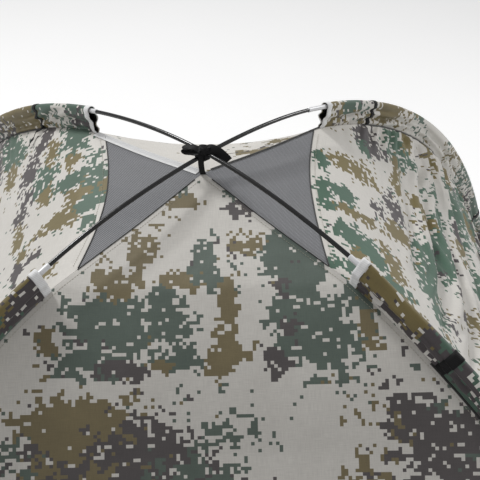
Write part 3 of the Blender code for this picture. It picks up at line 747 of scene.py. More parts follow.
# Black ribbon for the bands, ties, tabs and bindings; the same black also stands as painted shade inside the
# sleeves' mouths.
RIBBON_AND_SHADE = woven("black_ribbon_and_painted_shade", rgb(8, 8, 9), rgb(24, 24, 25), 0.0011, 0.62, 0.5, 0.03)
RIBBON_AND_SHADE.node_tree.nodes["Principled BSDF"].inputs["Specular IOR Level"].default_value = 0.25
# Dark piping for the vents and the back right seam; the same dark strip also stands as painted shadow along
# the front seams and beside the sleeves.
PIPING_AND_SHADOW = woven("dark_seam_piping_and_painted_shadow", rgb(34, 34, 34), rgb(58, 58, 56), 0.0009, 0.7)
THREAD = woven("sewing_thread", rgb(150, 145, 130), rgb(196, 190, 172), 0.0004, 0.6)
ROD = rod_finish("black_fibreglass")
FERRULE = metal("white_metal_ferrule", rgb(222, 223, 225), rgb(244, 244, 246), 0.20, 0.25)
STEEL = metal("plain_steel", rgb(150, 150, 150), rgb(186, 186, 184), 1.0, 0.25)
BRASS = metal("brass_eyelet", rgb(150, 120, 62), rgb(188, 156, 92), 1.0, 0.3)
ZIP_PLASTIC = plastic("black_coil_zip", rgb(16, 16, 16), rgb(34, 34, 34), 0.4)
CORD = woven("shock_cord_braid", rgb(170, 168, 160), rgb(222, 220, 212), 0.0006, 0.7)


# ---------------------------------------------------------------- cloth of the walls
def openings_of(wall):
    """Half width, upper and lower v of a wall's opening."""
    if wall == "front":
        return DOOR_HALF, v_at_height(DOOR_TOP), WALL_LENGTH
    return WINDOW_HALF, v_at_height(WINDOW_TOP), v_at_height(WINDOW_BOTTOM)


HINGE_V = {"front": v_at_height(DOOR_TOP + DOOR_LAP), "left": v_at_height(WINDOW_TOP + WINDOW_LAP)}
HINGE_V["right"] = HINGE_V["back"] = HINGE_V["left"]
PANEL_MIDDLE = 0.5 * (v_at_height(WINDOW_TOP) + v_at_height(WINDOW_BOTTOM))
PANEL_REACH = 0.5 * (v_at_height(WINDOW_BOTTOM) - v_at_height(WINDOW_TOP))
WALL_SEED = {"front": 11, "right": 23, "back": 37, "left": 53}
BACK_SAG = 0.044            # the back wall's cloth is slacker
CREASE = {"right": 0.0150, "left": 0.0036}
SAG = 0.034                 # how far a wall's middle is drawn in, where it is widest above the hinge


def side_creases(wall, rear, v, half, edge, calm):
    """Creases of the left and right walls, which fan out from the rear sleeve. rear grows toward it."""
    seed = WALL_SEED[wall]
    size = CREASE[wall]
    bend = (v - 0.20 * rear) / 0.075 + 1.1 * soft_noise(v * 5, rear * 2.2, seed + 5)
    crest = 1.6 * np.abs(np.sin(math.pi * bend)) ** 0.8 - 1.0
    crest += 0.35 * np.sin(2 * math.pi * (2.3 * bend + soft_noise(v * 9, rear * 5, seed + 9)))
    strength = 0.55 + 0.45 * soft_noise(v * 4.4, rear * 3.1, seed + 6)
    strength *= 1 + 0.5 * step_up(rear, 0.22, 0.42)
    reach = step_up(edge, 0.004, 0.05) * step_up(rear, -half + 0.02, -half + 0.34)
    fan = step_up(v, 0.34, 0.56) * (1 - step_up(v, 1.20, 1.5)) * (0.35 + 0.65 * calm)
    framed = step_up(np.abs(rear), WINDOW_HALF + 0.04, WINDOW_HALF + 0.14)
    off_panel = step_up(np.abs(v - PANEL_MIDDLE), PANEL_REACH + 0.03, PANEL_REACH + 0.13)
    framed = np.maximum(framed, off_panel)
    broad = size * crest * strength * reach * fan * (0.22 + 0.78 * framed)
    short = v / 0.030 + 1.5 * soft_noise(v * 8, rear * 4, seed + 7)
    near_sleeve = np.exp(-((edge - 0.03) / 0.05) ** 2) * (rear > 0) * step_up(edge, 0.002, 0.02)
    return broad, 0.4 * size * np.sin(2 * math.pi * short) * near_sleeve * step_up(v, 0.24, 0.40)


def wall_shift(wall, x, v):
    """How far a wall's cloth lies outside its taut shape: a slight pull inward, folds and puckers."""
    seed = WALL_SEED[wall]
    half = wall_at(v, 1)
    t = np.clip(x / half, -1, 1)
    edge = half - np.abs(x)
    top_edge = step_up(v, 0.0, 0.10)
    foot = step_up(WALL_LENGTH - v, 0.0, 0.12)
    fixed = step_up(edge, 0.0, 0.05) * top_edge
    calm = step_up(np.abs(v - HINGE_V[wall]), 0.01, 0.16)
    quiet = 0.12 + 0.88 * calm
    depth = SAG * np.minimum(1, half / 0.42) ** 2
    if wall == "back":
        depth = BACK_SAG * np.minimum(1, half / 0.28) ** 1.4
    depth = np.where(v < HINGE_V[wall], depth, 0.014)
    pull = -depth * (1 - t ** 2) * step_up(v, 0.0, 0.12) * foot * quiet
    billow = 0.0016 * soft_noise(x * 6 + 4, v * 5, seed) * fixed * quiet
    ripple = 0.0007 * soft_noise(x * 19, v * 14 + x * 9, seed + 1) * fixed * quiet
    along = v / 0.034 + 1.3 * soft_noise(v * 9, x * 2, seed + 2)
    pucker = 0.0017 * np.sin(2 * math.pi * along) * np.exp(-edge / 0.035) * step_up(edge, 0, 0.006)
    pucker *= (0.5 + 0.5 * soft_noise(v * 7, np.sign(x) * 3, seed + 3)) * step_up(v, 0.25, 0.34)
    shift = pull + billow + ripple + pucker
    if wall in CREASE:
        broad, short = side_creases(wall, x if wall == "right" else -x, v, half, edge, calm)
        shift = shift + broad + short
    return shift


def wall_points(wall, x, v, rise):
    """World points on a wall's cloth, raised off it by rise."""
    out = wall_shift(wall, x, v) + rise
    w = wall_at(v, 1) + out * wall_at(v, 3)
    z = wall_at(v, 2) + out * wall_at(v, 4)
    return place(wall, x, w, np.maximum(z, 0.0006))


def wall_normal(wall, v):
    return place(wall, 0.0 * v, wall_at(v, 3), wall_at(v, 4))


def print_uv(x, v):
    return np.stack([x.ravel(), v.ravel()], 1)


COLUMNS = 150               # of a wall, in thirds: beside the opening, over it and beside it
THIRD = COLUMNS // 3
ROW_COUNT = 200
EDGE_GAP = 0.0003           # from a wall's cloth to the seam


def cloth_rows(start, end, marks):
    """Row positions, closer together near the top, with rows exactly at the marks."""
    q = np.linspace(0, 1, ROW_COUNT) ** 1.35
    rows = start + (end - start) * q
    for mark in marks:
        if start < mark < end:
            rows[np.abs(rows - mark).argmin()] = mark
    return np.sort(rows)


def column_places(wall, v):
    """x of every column at rows v, with two columns on the opening's sides."""
    half, _, _ = openings_of(wall)
    edge = wall_at(v, 1) - EDGE_GAP
    inner = np.minimum(half, (0.68 if wall == "front" else 0.5) * edge)
    knots = [0, THIRD, 2 * THIRD, COLUMNS]
    j = np.arange(COLUMNS + 1)
    return np.stack([np.interp(j, knots, [-e, -i, i, e]) for e, i in zip(edge, inner)])


def used_only(points, faces, uvs):
    """Drops points that no face uses."""
    used = np.unique(np.array(faces))
    index = np.full(len(points), -1)
    index[used] = np.arange(len(used))
    return points[used], index[np.array(faces)], uvs[used]


def mesh_line(wall, t):
    """v of the mesh panel's lower edge at a share t of the half width."""
    first, middle, last = VENT_EDGE[wall]
    return v_at_p(middle + (np.where(t < 0, first, last) - middle) * t ** 2)


def cloth_grid(wall, x, v, rise=0.0, keep=None):
    """Points and outward faces of a grid of cloth on a wall, without the cells that keep refuses."""
    faces = [f[::-1] for f in grid_faces(*x.shape, keep)]
    return wall_points(wall, x, v, rise).reshape(-1, 3), faces


def make_wall(wall):
    _, top, bottom = openings_of(wall)
    start = v_at_p(0.20) if wall in VENT_EDGE else 0.0
    rows = cloth_rows(start, WALL_LENGTH, [top, bottom, HINGE_V[wall]])
    x = column_places(wall, rows)
    v = np.repeat(rows[:, None], x.shape[1], 1)
    if wall in VENT_EDGE:
        t = np.clip(x / x[:, -1:], -1, 1)
        lower = mesh_line(wall, t)
        blend_end = top - 0.06
        share = np.clip((v - start) / (blend_end - start), 0, 1)
        v = np.where(v < blend_end, lower + (blend_end - lower) * share, v)
        x = t * (wall_at(v, 1) - EDGE_GAP) * (v < blend_end) + x * (v >= blend_end)
    first, last = int(np.abs(rows - top).argmin()), int(np.abs(rows - bottom).argmin())
    points, faces = cloth_grid(wall, x, v, 0.0,
                               lambda i, j: not (first <= i < last and THIRD <= j < 2 * THIRD))
    points, faces, uvs = used_only(points, faces, print_uv(x, v))
    obj = new_piece(wall + "_wall_cloth", points, faces, CAMO[wall], uvs=uvs, thickness=CLOTH)
    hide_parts(wall + "_wall")


def make_vent(wall):
    q = np.linspace(0, 1, 60)[:, None]
    t = np.linspace(-1, 1, 81)[None, :]
    v = q * mesh_line(wall, t)
    x = t * (wall_at(v, 1) - EDGE_GAP)
    points, faces = cloth_grid(wall, x, v)
    obj = new_piece(wall + "_vent_cloth", points, faces, MESH, uvs=print_uv(x, v))
    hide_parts(wall + "_vent_mesh")


def make_flap(node, wall, half, top, bottom):
    """A flap's cloth with a bound edge, lying just off its wall."""
    v0, v1 = v_at_height(top), v_at_height(bottom)
    rows = np.linspace(v0, v1, max(12, int((v1 - v0) / FLAP_SPACING)))
    columns = np.linspace(-half, half, max(20, int(2 * half / FLAP_SPACING)))
    x, v = np.broadcast_arrays(columns[None, :], rows[:, None])
    points, faces = cloth_grid(wall, x, v, FLAP_RISE + 0.0006 * soft_noise(x * 20, v * 20, 91))
    obj = new_piece(node + "_cloth", points, faces, CAMO[wall], node, uvs=print_uv(x, v), thickness=CLOTH)
    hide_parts(node)
    inset = FLAP_BINDING / 2
    down, over = np.linspace(v0, v1, 60), np.linspace(-half, half, 60)
    lines = {"left": (np.full(60, inset - half), down), "right": (np.full(60, half - inset), down),
             "top": (over, np.full(60, v0 + inset)), "foot": (over, np.full(60, v1 - inset))}
    edges = [edge_strip("%s_binding_%s" % (node, label), wall, xs, vs, FLAP_BINDING, RIBBON_AND_SHADE,
                        FLAP_RISE + 0.0012, body=node) for label, (xs, vs) in lines.items()]


def edge_strip(name, wall, xs, vs, width, mat, rise, thickness=0.0008, body=ROOT_BODY):
    """A sewn strip that follows a line of (x, v) places on a wall."""
    points = wall_points(wall, xs, vs, rise)
    normals = wall_normal(wall, vs)
    frames = []
    for i in range(len(points)):
        a, b = points[max(i - 1, 0)], points[min(i + 1, len(points) - 1)]
        tangent = Vector(b - a).normalized()
        normal = Vector(normals[i])
        side = tangent.cross(normal).normalized()
        frames.append((Vector(points[i]), side.cross(tangent).normalized(), side))
    section = flat_outline(width, thickness)
    uvs = [(d + 4.0, a + 1.0) for d in run_lengths(points) for a, _ in section]
    return sweep(name, frames, section, mat, body, uvs=uvs)


def seam_places(side, start, end, inset, count=90):
    """Places (x, v) along a wall's edge, a little way in from it."""
    vs = np.linspace(start, end, count)
    return side * (wall_at(vs, 1) - inset), vs


def stitch_line(name, wall, xs, vs, rise):
    stitches(name, wall_points(wall, xs, vs, rise), wall_normal(wall, vs))


# ---------------------------------------------------------------- sleeves
def sleeve_half_width(depth_share, fullness):
    """Half width of a sleeve from its crown (0) to its seam (1)."""
    places = [0.0, 0.12, 0.30, 0.55, 0.80, 1.0]
    widths = [0.0066, 0.0074, 0.0064, 0.0043, 0.0024, 0.0013]
    return float(np.interp(depth_share, places, widths)) * (fullness if depth_share < 0.9 else 1.0)


SLEEVE_SHARES = [1.0, 0.95, 0.90, 0.84, 0.77, 0.70, 0.63, 0.56, 0.49, 0.42, 0.35, 0.28, 0.20, 0.10]
MOUTH_CROWN = {"front_right": 0.0085, "front_left": 0.0025}     # how much a mouth stands open above its pole
FULLNESS = {"front_left": 1.24, "front_right": 1.36}


def sleeve_ring(corner, s, grow, cut):
    """Outline over a sleeve at s, from its seam on one side to its seam on the other."""
    depth = wall_depth(s) - cut
    past_mouth = (s - MOUTHS[corner]) / 0.06
    crown = SLEEVE_CROWN + MOUTH_CROWN.get(corner, 0.0) * math.exp(-past_mouth ** 2)
    seed = 300 + list(CORNERS).index(corner) * 17

    def noise(x, y, number):
        return float(soft_noise(x, y, seed + number))

    full = FULLNESS.get(corner, 1.0) + 0.28 * noise(s * 11, 0.5, 0)
    ring = []
    for side in (1, -1):
        part = []
        for share in SLEEVE_SHARES:
            fold = 0.0012 * noise(s * 30 + share * 3, share * 4 + side * 7, 1)
            drift = 1.2 * noise(s * 5.5, side * 3, 3)
            swing = 0.7 + 0.3 * math.sin(s * 17 + side)
            fold += 0.0036 * math.sin(2 * math.pi * (share * 2.1 + drift)) * swing
            fold += 0.0016 * noise(s * 24, share * 7 + side * 3, 4)
            crease = 0.50 + 0.09 * noise(s * 6.5, side * 2, 5)
            away = min(1.0, max(0.0, past_mouth))
            fold -= 0.0030 * away * math.exp(-((share - crease) / 0.055) ** 2)
            fold += 0.0009 * math.sin(s * 190 + 4 * noise(s * 8, side, 2)) * (share > 0.5)
            fold *= min(1.0, 5 * (1.0 - share)) * min(1.0, 6 * share)
            part.append((side * (sleeve_half_width(share, full) + grow + fold), -share * depth))
        ring.append(part)
    arc = [(math.cos(a) * (0.0070 + grow), math.sin(a) * (crown + grow))
           for a in np.linspace(0.1, math.pi - 0.1, 9)]
    return ring[0] + arc + ring[1][::-1]


def sleeve_strip(name, corner, start, end, mat, grow=0.0, thickness=CLOTH, cut=0.0):
    """Cloth over a pole from start to end, and its girth. grow sets it outside the sleeve."""
    pole, sign = corner_pole(corner)
    span = np.linspace(start, end, 5)
    if end - start > SLEEVE_STEP * 3:
        span = np.arange(start, end + SLEEVE_STEP * 0.5, SLEEVE_STEP)
    verts, uvs = [], []
    for s in span:
        centre, normal, side, _ = pole_frame(pole, sign * s)
        ring = sleeve_ring(corner, s, grow, cut)
        girth = 0.0
        for k, (a, n) in enumerate(ring):
            if k:
                girth += math.hypot(a - ring[k - 1][0], n - ring[k - 1][1])
            verts.append(centre + side * a + normal * n)
            uvs.append((s + list(CORNERS).index(corner) * 1.37, girth))
    obj = new_piece(name, verts, grid_faces(len(span), len(ring)), mat, uvs=uvs, thickness=thickness)
    return obj, girth


def sleeve_trim(name, corner, start, end, mat, grow=TRIM_RISE, thickness=TRIM_THICKNESS, cut=0.0):
    obj, _ = sleeve_strip(name + corner, corner, start, end, mat, grow, thickness, cut)
    return obj


def hang_tail(corner):
    """The loose end of a band, curling down over the left wall."""
    x = wall_at(v_at_p(BAND_START), 1)
    spots = [(0.000, 0.000, 0.004), (0.006, 0.012, 0.007), (0.004, 0.022, 0.010), (0.012, 0.031, 0.006),
             (0.020, 0.038, 0.009), (0.018, 0.050, 0.005)]
    points = [wall_points("left", np.array([-x + a]), np.array([v_at_p(BAND_START) + b]), c)[0]
              for a, b, c in spots]
    tail = ribbon("ribbon_tail_" + corner, points, [(0.1, 1.0, 0.2), (0.0, 1.0, 0.4), (0.3, 0.8, 0.5)] * 2,
                  0.006, 0.0010, RIBBON_AND_SHADE)


def make_sleeve(corner):
    mouth, end = MOUTHS[corner], HALF_LENGTH - SLEEVE_FOOT
    cloth, girth = sleeve_strip("sleeve_cloth_" + corner, corner, mouth, end, CAMO["sleeve"])
    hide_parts("sleeve_" + corner)
    tape = sleeve_trim("mouth_binding_", corner, mouth - 0.0012, mouth + TAPE_WIDTH * 0.7,
                       WHITE_TAPE)
    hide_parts("mouth_tape_" + corner)
    # Painted shade: a black strip just inside each sleeve's mouth, where the inside of the sleeve is in
    # shade.
    mouth_shade = sleeve_trim("mouth_painted_shade_", corner, mouth + 0.0004, mouth + 0.030, RIBBON_AND_SHADE,
                         -0.0011, 0.0006, 0.001)
    start, width = BAND_START, 0.012
    if corner.startswith("front"):
        start, width = BAND_START + 0.002, BAND_WIDTH - 0.002
    band = sleeve_trim("ribbon_band_", corner, start, start + width, RIBBON_AND_SHADE)
    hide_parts("sleeve_band_" + corner)
    low = sleeve_trim("lower_ribbon_band_", corner, LOW_BAND, LOW_BAND + BAND_WIDTH, RIBBON_AND_SHADE)
    if corner == "back_left":
        hang_tail(corner)


# ---------------------------------------------------------------- poles
def ring_pipe(name, pole, profile, mats, sides=20):
    """A turned profile of (s, radius, material number) points along a pole."""
    stations = []
    for (s0, r0, m0), (s1, r1, _) in zip(profile, profile[1:]):
        count = max(1, int(abs(s1 - s0) / 0.010))
        stations += [(s0 + (s1 - s0) * k / count, r0 + (r1 - r0) * k / count, m0) for k in range(count)]
    stations.append(profile[-1])
    verts = []
    for s, radius, _ in stations:
        centre, normal, side, _ = pole_frame(pole, s)
        verts += [centre + side * a + normal * n for a, n in circle(radius, sides)]
    faces = grid_faces(len(stations), sides, wrap=True)
    last = (len(stations) - 1) * sides
    faces.append(tuple(reversed(range(sides))))
    faces.append(tuple(last + i for i in range(sides)))
    obj = new_piece(name, verts, faces, mats)
    numbers = [number for _, _, number in stations[:-1] for _ in range(sides)]
    numbers += [stations[0][2], stations[-1][2]]
    obj.data.polygons.foreach_set("material_index", numbers)
    face_outward(obj.data, 40)
    return obj


def make_rods(pole):
    """The seven rods of a pole. The joints in the sleeves have their ferrules on the rods' ends."""
    foot = HALF_LENGTH - TIP_LENGTH
    joints = [POLE_SLIP[pole] + way * (CENTRE_JOINT + n * SECTION) for way in (-1, 1) for n in range(3)]
    cuts = sorted(joints + [-foot, foot])
    for i, (start, end) in enumerate(zip(cuts, cuts[1:])):
        side = (start + end > 0) - (start + end < 0)
        start, end = start + 0.00015, end - 0.00015
        near, far = (start, end) if side >= 0 else (end, start)
        profile = [(near, ROD_RADIUS * 0.85, 0), (near + (far > near or -1) * 0.0005, ROD_RADIUS, 0)]
        if i in (1, 2, 4, 5):
            back, front = far - side * FERRULE_HALF, far + side * FERRULE_HALF
            profile += [(back, ROD_RADIUS, 1), (back + side * 0.0006, FERRULE_RADIUS, 1),
                        (front, FERRULE_RADIUS, 1)]
        else:
            profile += [(far, ROD_RADIUS, 0)]
        obj = ring_pipe("rod_%s_%d" % (pole, i + 1), pole, profile, [ROD, FERRULE])
        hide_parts("pole_%s_section_%d" % (pole, i + 1))


def make_ferrule(corner):
    """The bright ferrule beside a sleeve's mouth, with a lip at each end."""
    pole, sign = corner_pole(corner)
    joint = POLE_SLIP[pole] + sign * CENTRE_JOINT
    a, b = joint - FERRULE_HALF, joint + FERRULE_HALF
    lip = FERRULE_RADIUS + 0.0001
    profile = [(a, 0.0037, 0), (a + 0.0008, lip, 0), (a + 0.004, FERRULE_RADIUS, 0),
               (b - 0.004, FERRULE_RADIUS, 0), (b - 0.0008, lip, 0), (b, 0.0037, 0)]
    obj = ring_pipe("bright_ferrule_" + corner, pole, profile, [FERRULE], sides=24)
    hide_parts("ferrule_" + corner)


# ---------------------------------------------------------------- tie, strap and apex
APEX = seam(0.012)[1]
FLAT_WAY = (0.1, 1.0, 0.35)
# each wrap's way, the direction of its width, and its reach
TIE_WRAPS = (((1, 0, 0), (0, 1, 0), 0.0125), ((0.55, 0.83, 0), (-0.83, 0.55, 0), 0.0132),
             ((0.60, -0.80, 0), (0.80, 0.60, 0), 0.0129))
# each ribbon's points from the poles' crossing, the directions of its width, and its width and thickness
TIE_RIBBONS = {
    "tie_knot": ([(-0.004, -0.010, 0.011), (0.003, -0.013, 0.012), (0.009, -0.009, 0.011),
                  (0.006, -0.004, 0.013), (-0.003, -0.005, 0.014), (-0.008, -0.010, 0.008)],
                 [(0.2, 0.3, 1)] * 3 + [(0.1, 0.9, 0.4)] * 3, 0.011, 0.0022),
    "tie_loop": ([(-0.004, -0.006, 0.010), (-0.013, -0.002, 0.0125), (-0.024, 0.002, 0.0105),
                  (-0.031, 0.003, 0.0070), (-0.028, 0.000, 0.0040), (-0.018, -0.004, 0.0045),
                  (-0.010, -0.008, 0.006), (-0.003, -0.008, 0.009)],
                 [FLAT_WAY] * 3 + [(0.0, 1.0, 0.6)] * 2 + [FLAT_WAY] * 3, 0.011, 0.0016),
    "tie_tail": ([(0.004, -0.006, 0.010), (0.013, -0.007, 0.012), (0.024, -0.010, 0.008),
                  (0.034, -0.013, 0.000), (0.040, -0.016, -0.006)],
                 [(0.1, 1.0, 0.2), (0.2, 0.8, 0.7), (0.35, 0.55, 0.9)] + [(0.4, 0.45, 1.0)] * 2,
                 0.017, 0.0016),
    "apex_hanger": ([(-0.002, -0.010, 0.004), (-0.003, -0.0125, -0.004), (-0.003, -0.010, -0.016),
                     (-0.002, -0.006, -0.030), (0.0, -0.002, APEX - HEIGHT - 0.001)],
                    [(1, 0, 0)] * 5, 0.0095, 0.0016),
}


def make_tie():
    """Three wraps of ribbon round the crossing, their knot, and the strap that holds the cloth's apex."""
    top = Vector((0, 0, HEIGHT))
    for n, (way, across, reach) in enumerate(TIE_WRAPS):
        points = []
        for k in range(17):
            angle = 2 * math.pi * k / 16
            squash = abs(math.cos(angle)) ** 0.7 * math.copysign(1, math.cos(angle))
            rise = math.sin(angle) * (0.0090 + 0.0009 * n)
            points.append(top + Vector(way) * squash * reach + Vector((0, 0, rise)))
        name = "tie_wrap_%d" % (n + 1)
        ribbon(name, points, [across] * 17, 0.012, 0.0013, RIBBON_AND_SHADE, per_span=4)
    for name, (points, across, width, thickness) in TIE_RIBBONS.items():
        ribbon(name, [top + Vector(p) for p in points], across, width, thickness, RIBBON_AND_SHADE)
    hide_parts("crossing_tie")
    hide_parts("apex_strap")


def make_apex_patch():
    patch = []
    for radius in (0.0, 0.007, 0.014, 0.0195):
        drop = -0.0050 - 0.10 * radius
        for k in range(32):
            a = 2 * math.pi * k / 32
            patch.append(Vector((radius * math.cos(a), radius * math.sin(a), APEX + drop)))
    faces = grid_faces(4, 32, wrap=True)[32:] + [tuple(32 + k for k in range(32))]
    obj = new_piece("apex_patch_cloth", patch, faces, WHITE_TAPE, thickness=0.0008)
    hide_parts("apex_patch")


# ---------------------------------------------------------------- seams and trims
def make_trims():
    """Piping, tape and stitches along the seams, and dark strips of painted shadow by the front seams and
    beside the sleeves. A seam's places start near the apex.
    """
    mouth_v = {c: float(v_at_p(MOUTHS[c])) for c in CORNERS}
    for wall in SIDES:
        t = np.linspace(-0.985, 0.985, 110)
        vs = mesh_line(wall, t)
        xs = t * wall_at(vs, 1)
        edge_strip(wall + "_vent_piping", wall, xs, vs, 0.0020, PIPING_AND_SHADOW, 0.0010, 0.0016)
        stitch_line(wall + "_vent_stitches", wall, xs * 0.98, vs + 0.0095, 0.0014)
    for label, side in SIDES.items():
        vent_corner = VENT_EDGE["left"][2] if side < 0 else VENT_EDGE["right"][0]
        xs, vs = seam_places(side, 0.012, v_at_p(vent_corner), 0.0004)
        # Painted shadow: a thin dark line along the front wall's edge beside the vent.
        edge_strip("front_%s_seam_piping" % label, "front", xs, vs, 0.0018, PIPING_AND_SHADOW, 0.0010, 0.0016)
        xs, vs = seam_places(side, 0.012, mouth_v["front_" + label] + 0.30, 0.0105)
        stitch_line("front_%s_seam_stitches" % label, "front", xs, vs, 0.0006)
    tape_end = mouth_v["back_left"] + 0.004
    xs, vs = seam_places(-1, 0.010, mouth_v["back_right"], 0.0002)
    edge_strip("back_right_seam_piping", "back", xs, vs, 0.0034, PIPING_AND_SHADOW, 0.0014, 0.0022)
    xs, vs = seam_places(-1, 0.006, tape_end, 0.0050)
    edge_strip("back_left_seam_tape", "left", xs, vs, 0.0125, WHITE_TAPE, 0.0012, 0.0009)
    xs, vs = seam_places(1, 0.006, tape_end, 0.0030)
    edge_strip("back_left_seam_tape_back", "back", xs, vs, 0.0070, WHITE_TAPE, 0.0012, 0.0009)
    # Painted shadow: a dark strip on each wall a little in from its edges, where the wall meets the sleeve
    # above it.
    for wall in WALLS:
        for label, side in SIDES.items():
            xs, vs = seam_places(side, 0.34, WALL_LENGTH - 0.02, 0.0030, 160)
            edge_strip("%s_%s_sleeve_seam" % (wall, label), wall, xs, vs, 0.0050, PIPING_AND_SHADOW, 0.0008, 0.0012)


def make_hem():
    """Folded hem with two rows of stitches round the foot of the walls, open at the doorway."""
    for wall in WALLS:
        foot = float(wall_at(WALL_LENGTH, 1))
        spans = [(-foot, -DOOR_HALF), (DOOR_HALF, foot)] if wall == "front" else [(-foot, foot)]
        for n, (a, b) in enumerate(spans):
            xs = np.linspace(a + 0.004, b - 0.004, 80)
            vs = np.full(80, WALL_LENGTH - 0.013)
            name = "%s_hem_%d" % (wall, n + 1)
            edge_strip(name, wall, xs, vs, 0.022, CAMO[wall], 0.0011)
            for k, inset in enumerate((0.005, 0.021)):
                vs = np.full(80, WALL_LENGTH - inset)
                stitch_line("%s_stitches_%d" % (name, k + 1), wall, xs, vs, 0.0016)


# ---------------------------------------------------------------- door zips
ZIP_TOP = DOOR_TOP - 0.004
ZIP_FOOT = 0.010
ZIP_PITCH = 0.0026          # of the coil's turns
BOX_FACES = ((0, 1, 3, 2), (4, 6, 7, 5), (0, 4, 5, 1), (2, 3, 7, 6), (0, 2, 6, 4), (1, 5, 7, 3))


def arc_point(angle, radius, x):
    return Vector((x, -(ARC_CENTRE.x + radius * math.cos(angle)), ARC_CENTRE.y + radius * math.sin(angle)))


def make_zip(side):
    low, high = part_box("door_zip_" + side)
    centre = 0.5 * (low[0] + high[0])
    foot = math.asin((ZIP_FOOT - ARC_CENTRE.y) / ARC_RADIUS)
    top = math.asin((ZIP_TOP - ARC_CENTRE.y) / ARC_RADIUS)
    vs = np.linspace(v_at_height(ZIP_TOP), v_at_height(ZIP_FOOT), 90)
    tape = edge_strip("zip_tape_" + side, "front", np.full(90, centre), vs, 0.0125, ZIP_PLASTIC, 0.0016)
    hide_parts("door_zip_" + side)
    count = int((top - foot) * ARC_RADIUS / ZIP_PITCH)
    turns = np.linspace(vs[0], vs[-1], count)
    places = wall_points("front", np.full(count, centre), turns, 0.0021)
    normals = wall_normal("front", turns)
    block = [(a, o, x) for a in (-0.0008, 0.0008) for o in (0.0, 0.0011) for x in (-0.0026, 0.0026)]
    verts, faces = [], []
    for k in range(count):
        p, n = Vector(places[k]), Vector(normals[k])
        along = Vector((1, 0, 0)).cross(n).normalized()
        base = len(verts)
        for a, o, x in block:
            lean = a + 0.0003 * math.copysign(1, x)
            verts.append(p + along * lean + n * o + Vector((x, 0, 0)))
        faces += [tuple(base + i for i in f) for f in BOX_FACES]
    coil = new_piece("zip_coil_" + side, verts, faces, ZIP_PLASTIC, smooth=False)
    make_slider(side)
    make_pull(side)


def bevelled_box(name, centre, axes, size, mat, body, bevel, taper=1.0):
    """A block with rounded edges, tapered along its first axis."""
    bm = bmesh.new()
    bmesh.ops.create_cube(bm, size=1.0)
    for v in bm.verts:
        shrink = taper if v.co.x < 0 else 1.0
        local = Vector((v.co.x * size[0], v.co.y * size[1] * shrink, v.co.z * size[2]))
        v.co = centre + axes[0] * local.x + axes[1] * local.y + axes[2] * local.z
    bmesh.ops.bevel(bm, geom=list(bm.edges), offset=bevel, segments=3, profile=0.6, affect="EDGES")
    bmesh.ops.recalc_face_normals(bm, faces=bm.faces)
    mesh = bpy.data.meshes.new(name)
    bm.to_mesh(mesh)
    bm.free()
    mesh.polygons.foreach_set("use_smooth", [True] * len(mesh.polygons))
    mesh.set_sharp_from_angle(angle=math.radians(50))
    mesh.materials.append(mat)
    obj = new_object(name, mesh)
    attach(obj, body)
    return obj


def arc_axes(node):
    """Middle of a node by the door's arc, its angle, and the ways up the arc, across it and outward."""
    low, high = (Vector(p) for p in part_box(node))
    middle = 0.5 * (low + high)
    angle = math.atan2(middle.z - ARC_CENTRE.y, -middle.y - ARC_CENTRE.x)
    up = Vector((0, math.sin(angle), math.cos(angle)))
    out = Vector((0, -math.cos(angle), math.sin(angle)))
    return middle, angle, (up, Vector((1, 0, 0)), out)


def make_slider(side):
    node = "door_slider_" + side
    middle, angle, axes = arc_axes(node)
    up, _, out = axes
    base = arc_point(angle, ARC_RADIUS + 0.0045, middle.x)
    shell = bevelled_box("slider_shell_" + side, base, axes, (0.016, 0.0100, 0.0032), STEEL, node,
                         0.0011, 0.7)
    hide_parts(node)
    bridge = bevelled_box("slider_bridge_" + side, base + out * 0.0020 + up * 0.001, axes,
                          (0.0100, 0.0030, 0.0018), STEEL, node, 0.0007)


def make_pull(side):
    node = "door_pull_" + side
    centre, _, axes = arc_axes(node)
    up, _, out = axes
    tab = bevelled_box("pull_tab_" + side, centre - up * 0.002, axes, (0.038, 0.0068, 0.0018),
                       ZIP_PLASTIC, node, 0.0008, 1.15)
    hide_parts(node)
    ring = [centre + up * (0.0185 + 0.0028 * math.cos(a)) + Vector((0.0026 * math.sin(a), 0, 0))
            for a in np.linspace(0, 2 * math.pi, 13)]
    loop = ribbon("pull_ring_" + side, ring, [out] * 13, 0.0010, 0.0008, STEEL, node, per_span=3)


# ---------------------------------------------------------------- ground tabs
def make_tabs():
    for corner in CORNERS:
        x, y = CORNERS[corner]
        way = Vector((x, y, 0)) / ROOT2
        centre = way * (ROOT2 * HALF_BASE - 0.002)
        profile = [(0.0047, 0.0003), (0.0045, 0.0028), (0.0055, 0.0036), (0.0082, 0.0032), (0.0088, 0.0022)]
        verts = [centre + Vector((r * math.cos(a), r * math.sin(a), z)) for r, z in profile
                 for a in np.linspace(0, 2 * math.pi, 33)[:-1]]
        eyelet = new_piece("eyelet_" + corner, verts, grid_faces(len(profile), 32, wrap=True), BRASS)
        side = Vector((-y, x, 0)) / ROOT2
        for n, reach in enumerate((-0.030, 0.019)):
            middle = centre + way * reach
            row = [middle + side * w + Vector((0, 0, 0.0021)) for w in np.linspace(-0.015, 0.015, 12)]
            stitches("tab_stitches_%s_%d" % (corner, n + 1), row, [Vector((0, 0, 1))] * 12)


def repaint(node, mat):
    """Gives a piece that is shown as packed its material."""
    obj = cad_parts[node]
    obj.data.materials.clear()
    obj.data.materials.append(mat)


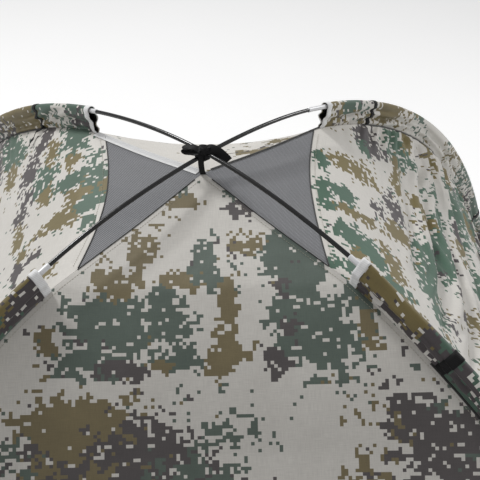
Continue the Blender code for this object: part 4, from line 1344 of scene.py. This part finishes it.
# ---------------------------------------------------------------- studio
def make_camera():
    """The camera of the picture: looking down on the top of the blind from in front."""
    place_m = Vector((0.027, -1.040, 1.979))
    yaw, pitch, roll = math.radians(1.83), math.radians(39.58), math.radians(0.31)
    ahead = math.cos(pitch)
    forward = Vector((math.sin(yaw) * ahead, math.cos(yaw) * ahead, -math.sin(pitch)))
    level = Vector((math.cos(yaw), -math.sin(yaw), 0))
    upright = level.cross(forward)
    right = level * math.cos(roll) + upright * math.sin(roll)
    up = upright * math.cos(roll) - level * math.sin(roll)
    data = bpy.data.cameras.new("camera")
    data.sensor_width = 36.0
    data.lens = 57.8
    data.clip_end = 60.0
    camera = new_object("camera", data)
    turn = Matrix((right, up, -forward)).transposed().to_4x4()
    camera.matrix_world = Matrix.Translation(place_m) @ turn
    bpy.context.scene.camera = camera


def area_light(name, place_m, target, size, power):
    data = bpy.data.lights.new(name, "AREA")
    data.shape = "RECTANGLE"
    data.size, data.size_y = size
    data.energy = power
    light = new_object(name, data)
    way = (Vector(target) - Vector(place_m)).normalized()
    turn = way.to_track_quat("-Z", "Y").to_matrix().to_4x4()
    light.matrix_world = Matrix.Translation(Vector(place_m)) @ turn


def make_studio():
    t = Tree("pale_floor")
    where = t.on_object()
    pale = t.mix(t.noise(where, 2.0, 2.0), (0.93, 0.93, 0.93, 1), (0.95, 0.95, 0.95, 1))
    t.finish(pale, 0.9, Emission_Color=(1.0, 1.0, 1.0, 1.0), Emission_Strength=0.16)
    far = 30.0
    mesh = bpy.data.meshes.new("floor")
    mesh.from_pydata([(-far, -far, 0), (far, -far, 0), (far, far, 0), (-far, far, 0)], [], [(0, 1, 2, 3)])
    mesh.materials.append(t.mat)
    floor = new_object("floor", mesh)
    world = bpy.data.worlds.new("studio")
    bpy.context.scene.world = world
    world.use_nodes = True
    background = world.node_tree.nodes["Background"]
    background.inputs[0].default_value = (1.0, 1.0, 1.0, 1.0)
    background.inputs[1].default_value = 0.40
    area_light("key", (-2.2, 2.2, 4.8), (0.0, 0.0, 1.0), (1.1, 1.1), 135.0)
    area_light("fill", (3.0, 1.6, 2.9), (0.3, 0.0, 0.9), (0.9, 0.9), 34.0)
    bpy.context.scene.view_settings.view_transform = "Standard"
    bpy.context.scene.view_settings.look = "None"


# ---------------------------------------------------------------- build
make_camera()
for wall in WALLS:
    make_wall(wall)
for wall in SIDES:
    make_vent(wall)
make_flap("door_flap", "front", DOOR_HALF - FLAP_SIDE_GAP, DOOR_TOP + DOOR_LAP, FLAP_FOOT)
for wall in ("left", "right", "back"):
    make_flap(wall + "_window_flap", wall, WINDOW_HALF + WINDOW_LAP, WINDOW_TOP + WINDOW_LAP,
              WINDOW_BOTTOM - WINDOW_LAP)
for corner in CORNERS:
    make_sleeve(corner)
for pole in POLES:
    make_rods(pole)
for corner in CORNERS:
    make_ferrule(corner)
make_tie()
make_apex_patch()
make_trims()
make_hem()
for side in SIDES:
    make_zip(side)
make_tabs()
for corner in CORNERS:
    repaint("pole_tip_" + corner, STEEL)
    repaint("ground_tab_" + corner, RIBBON_AND_SHADE)
for pole in POLES:
    repaint("shock_cord_" + pole, CORD)
make_studio()
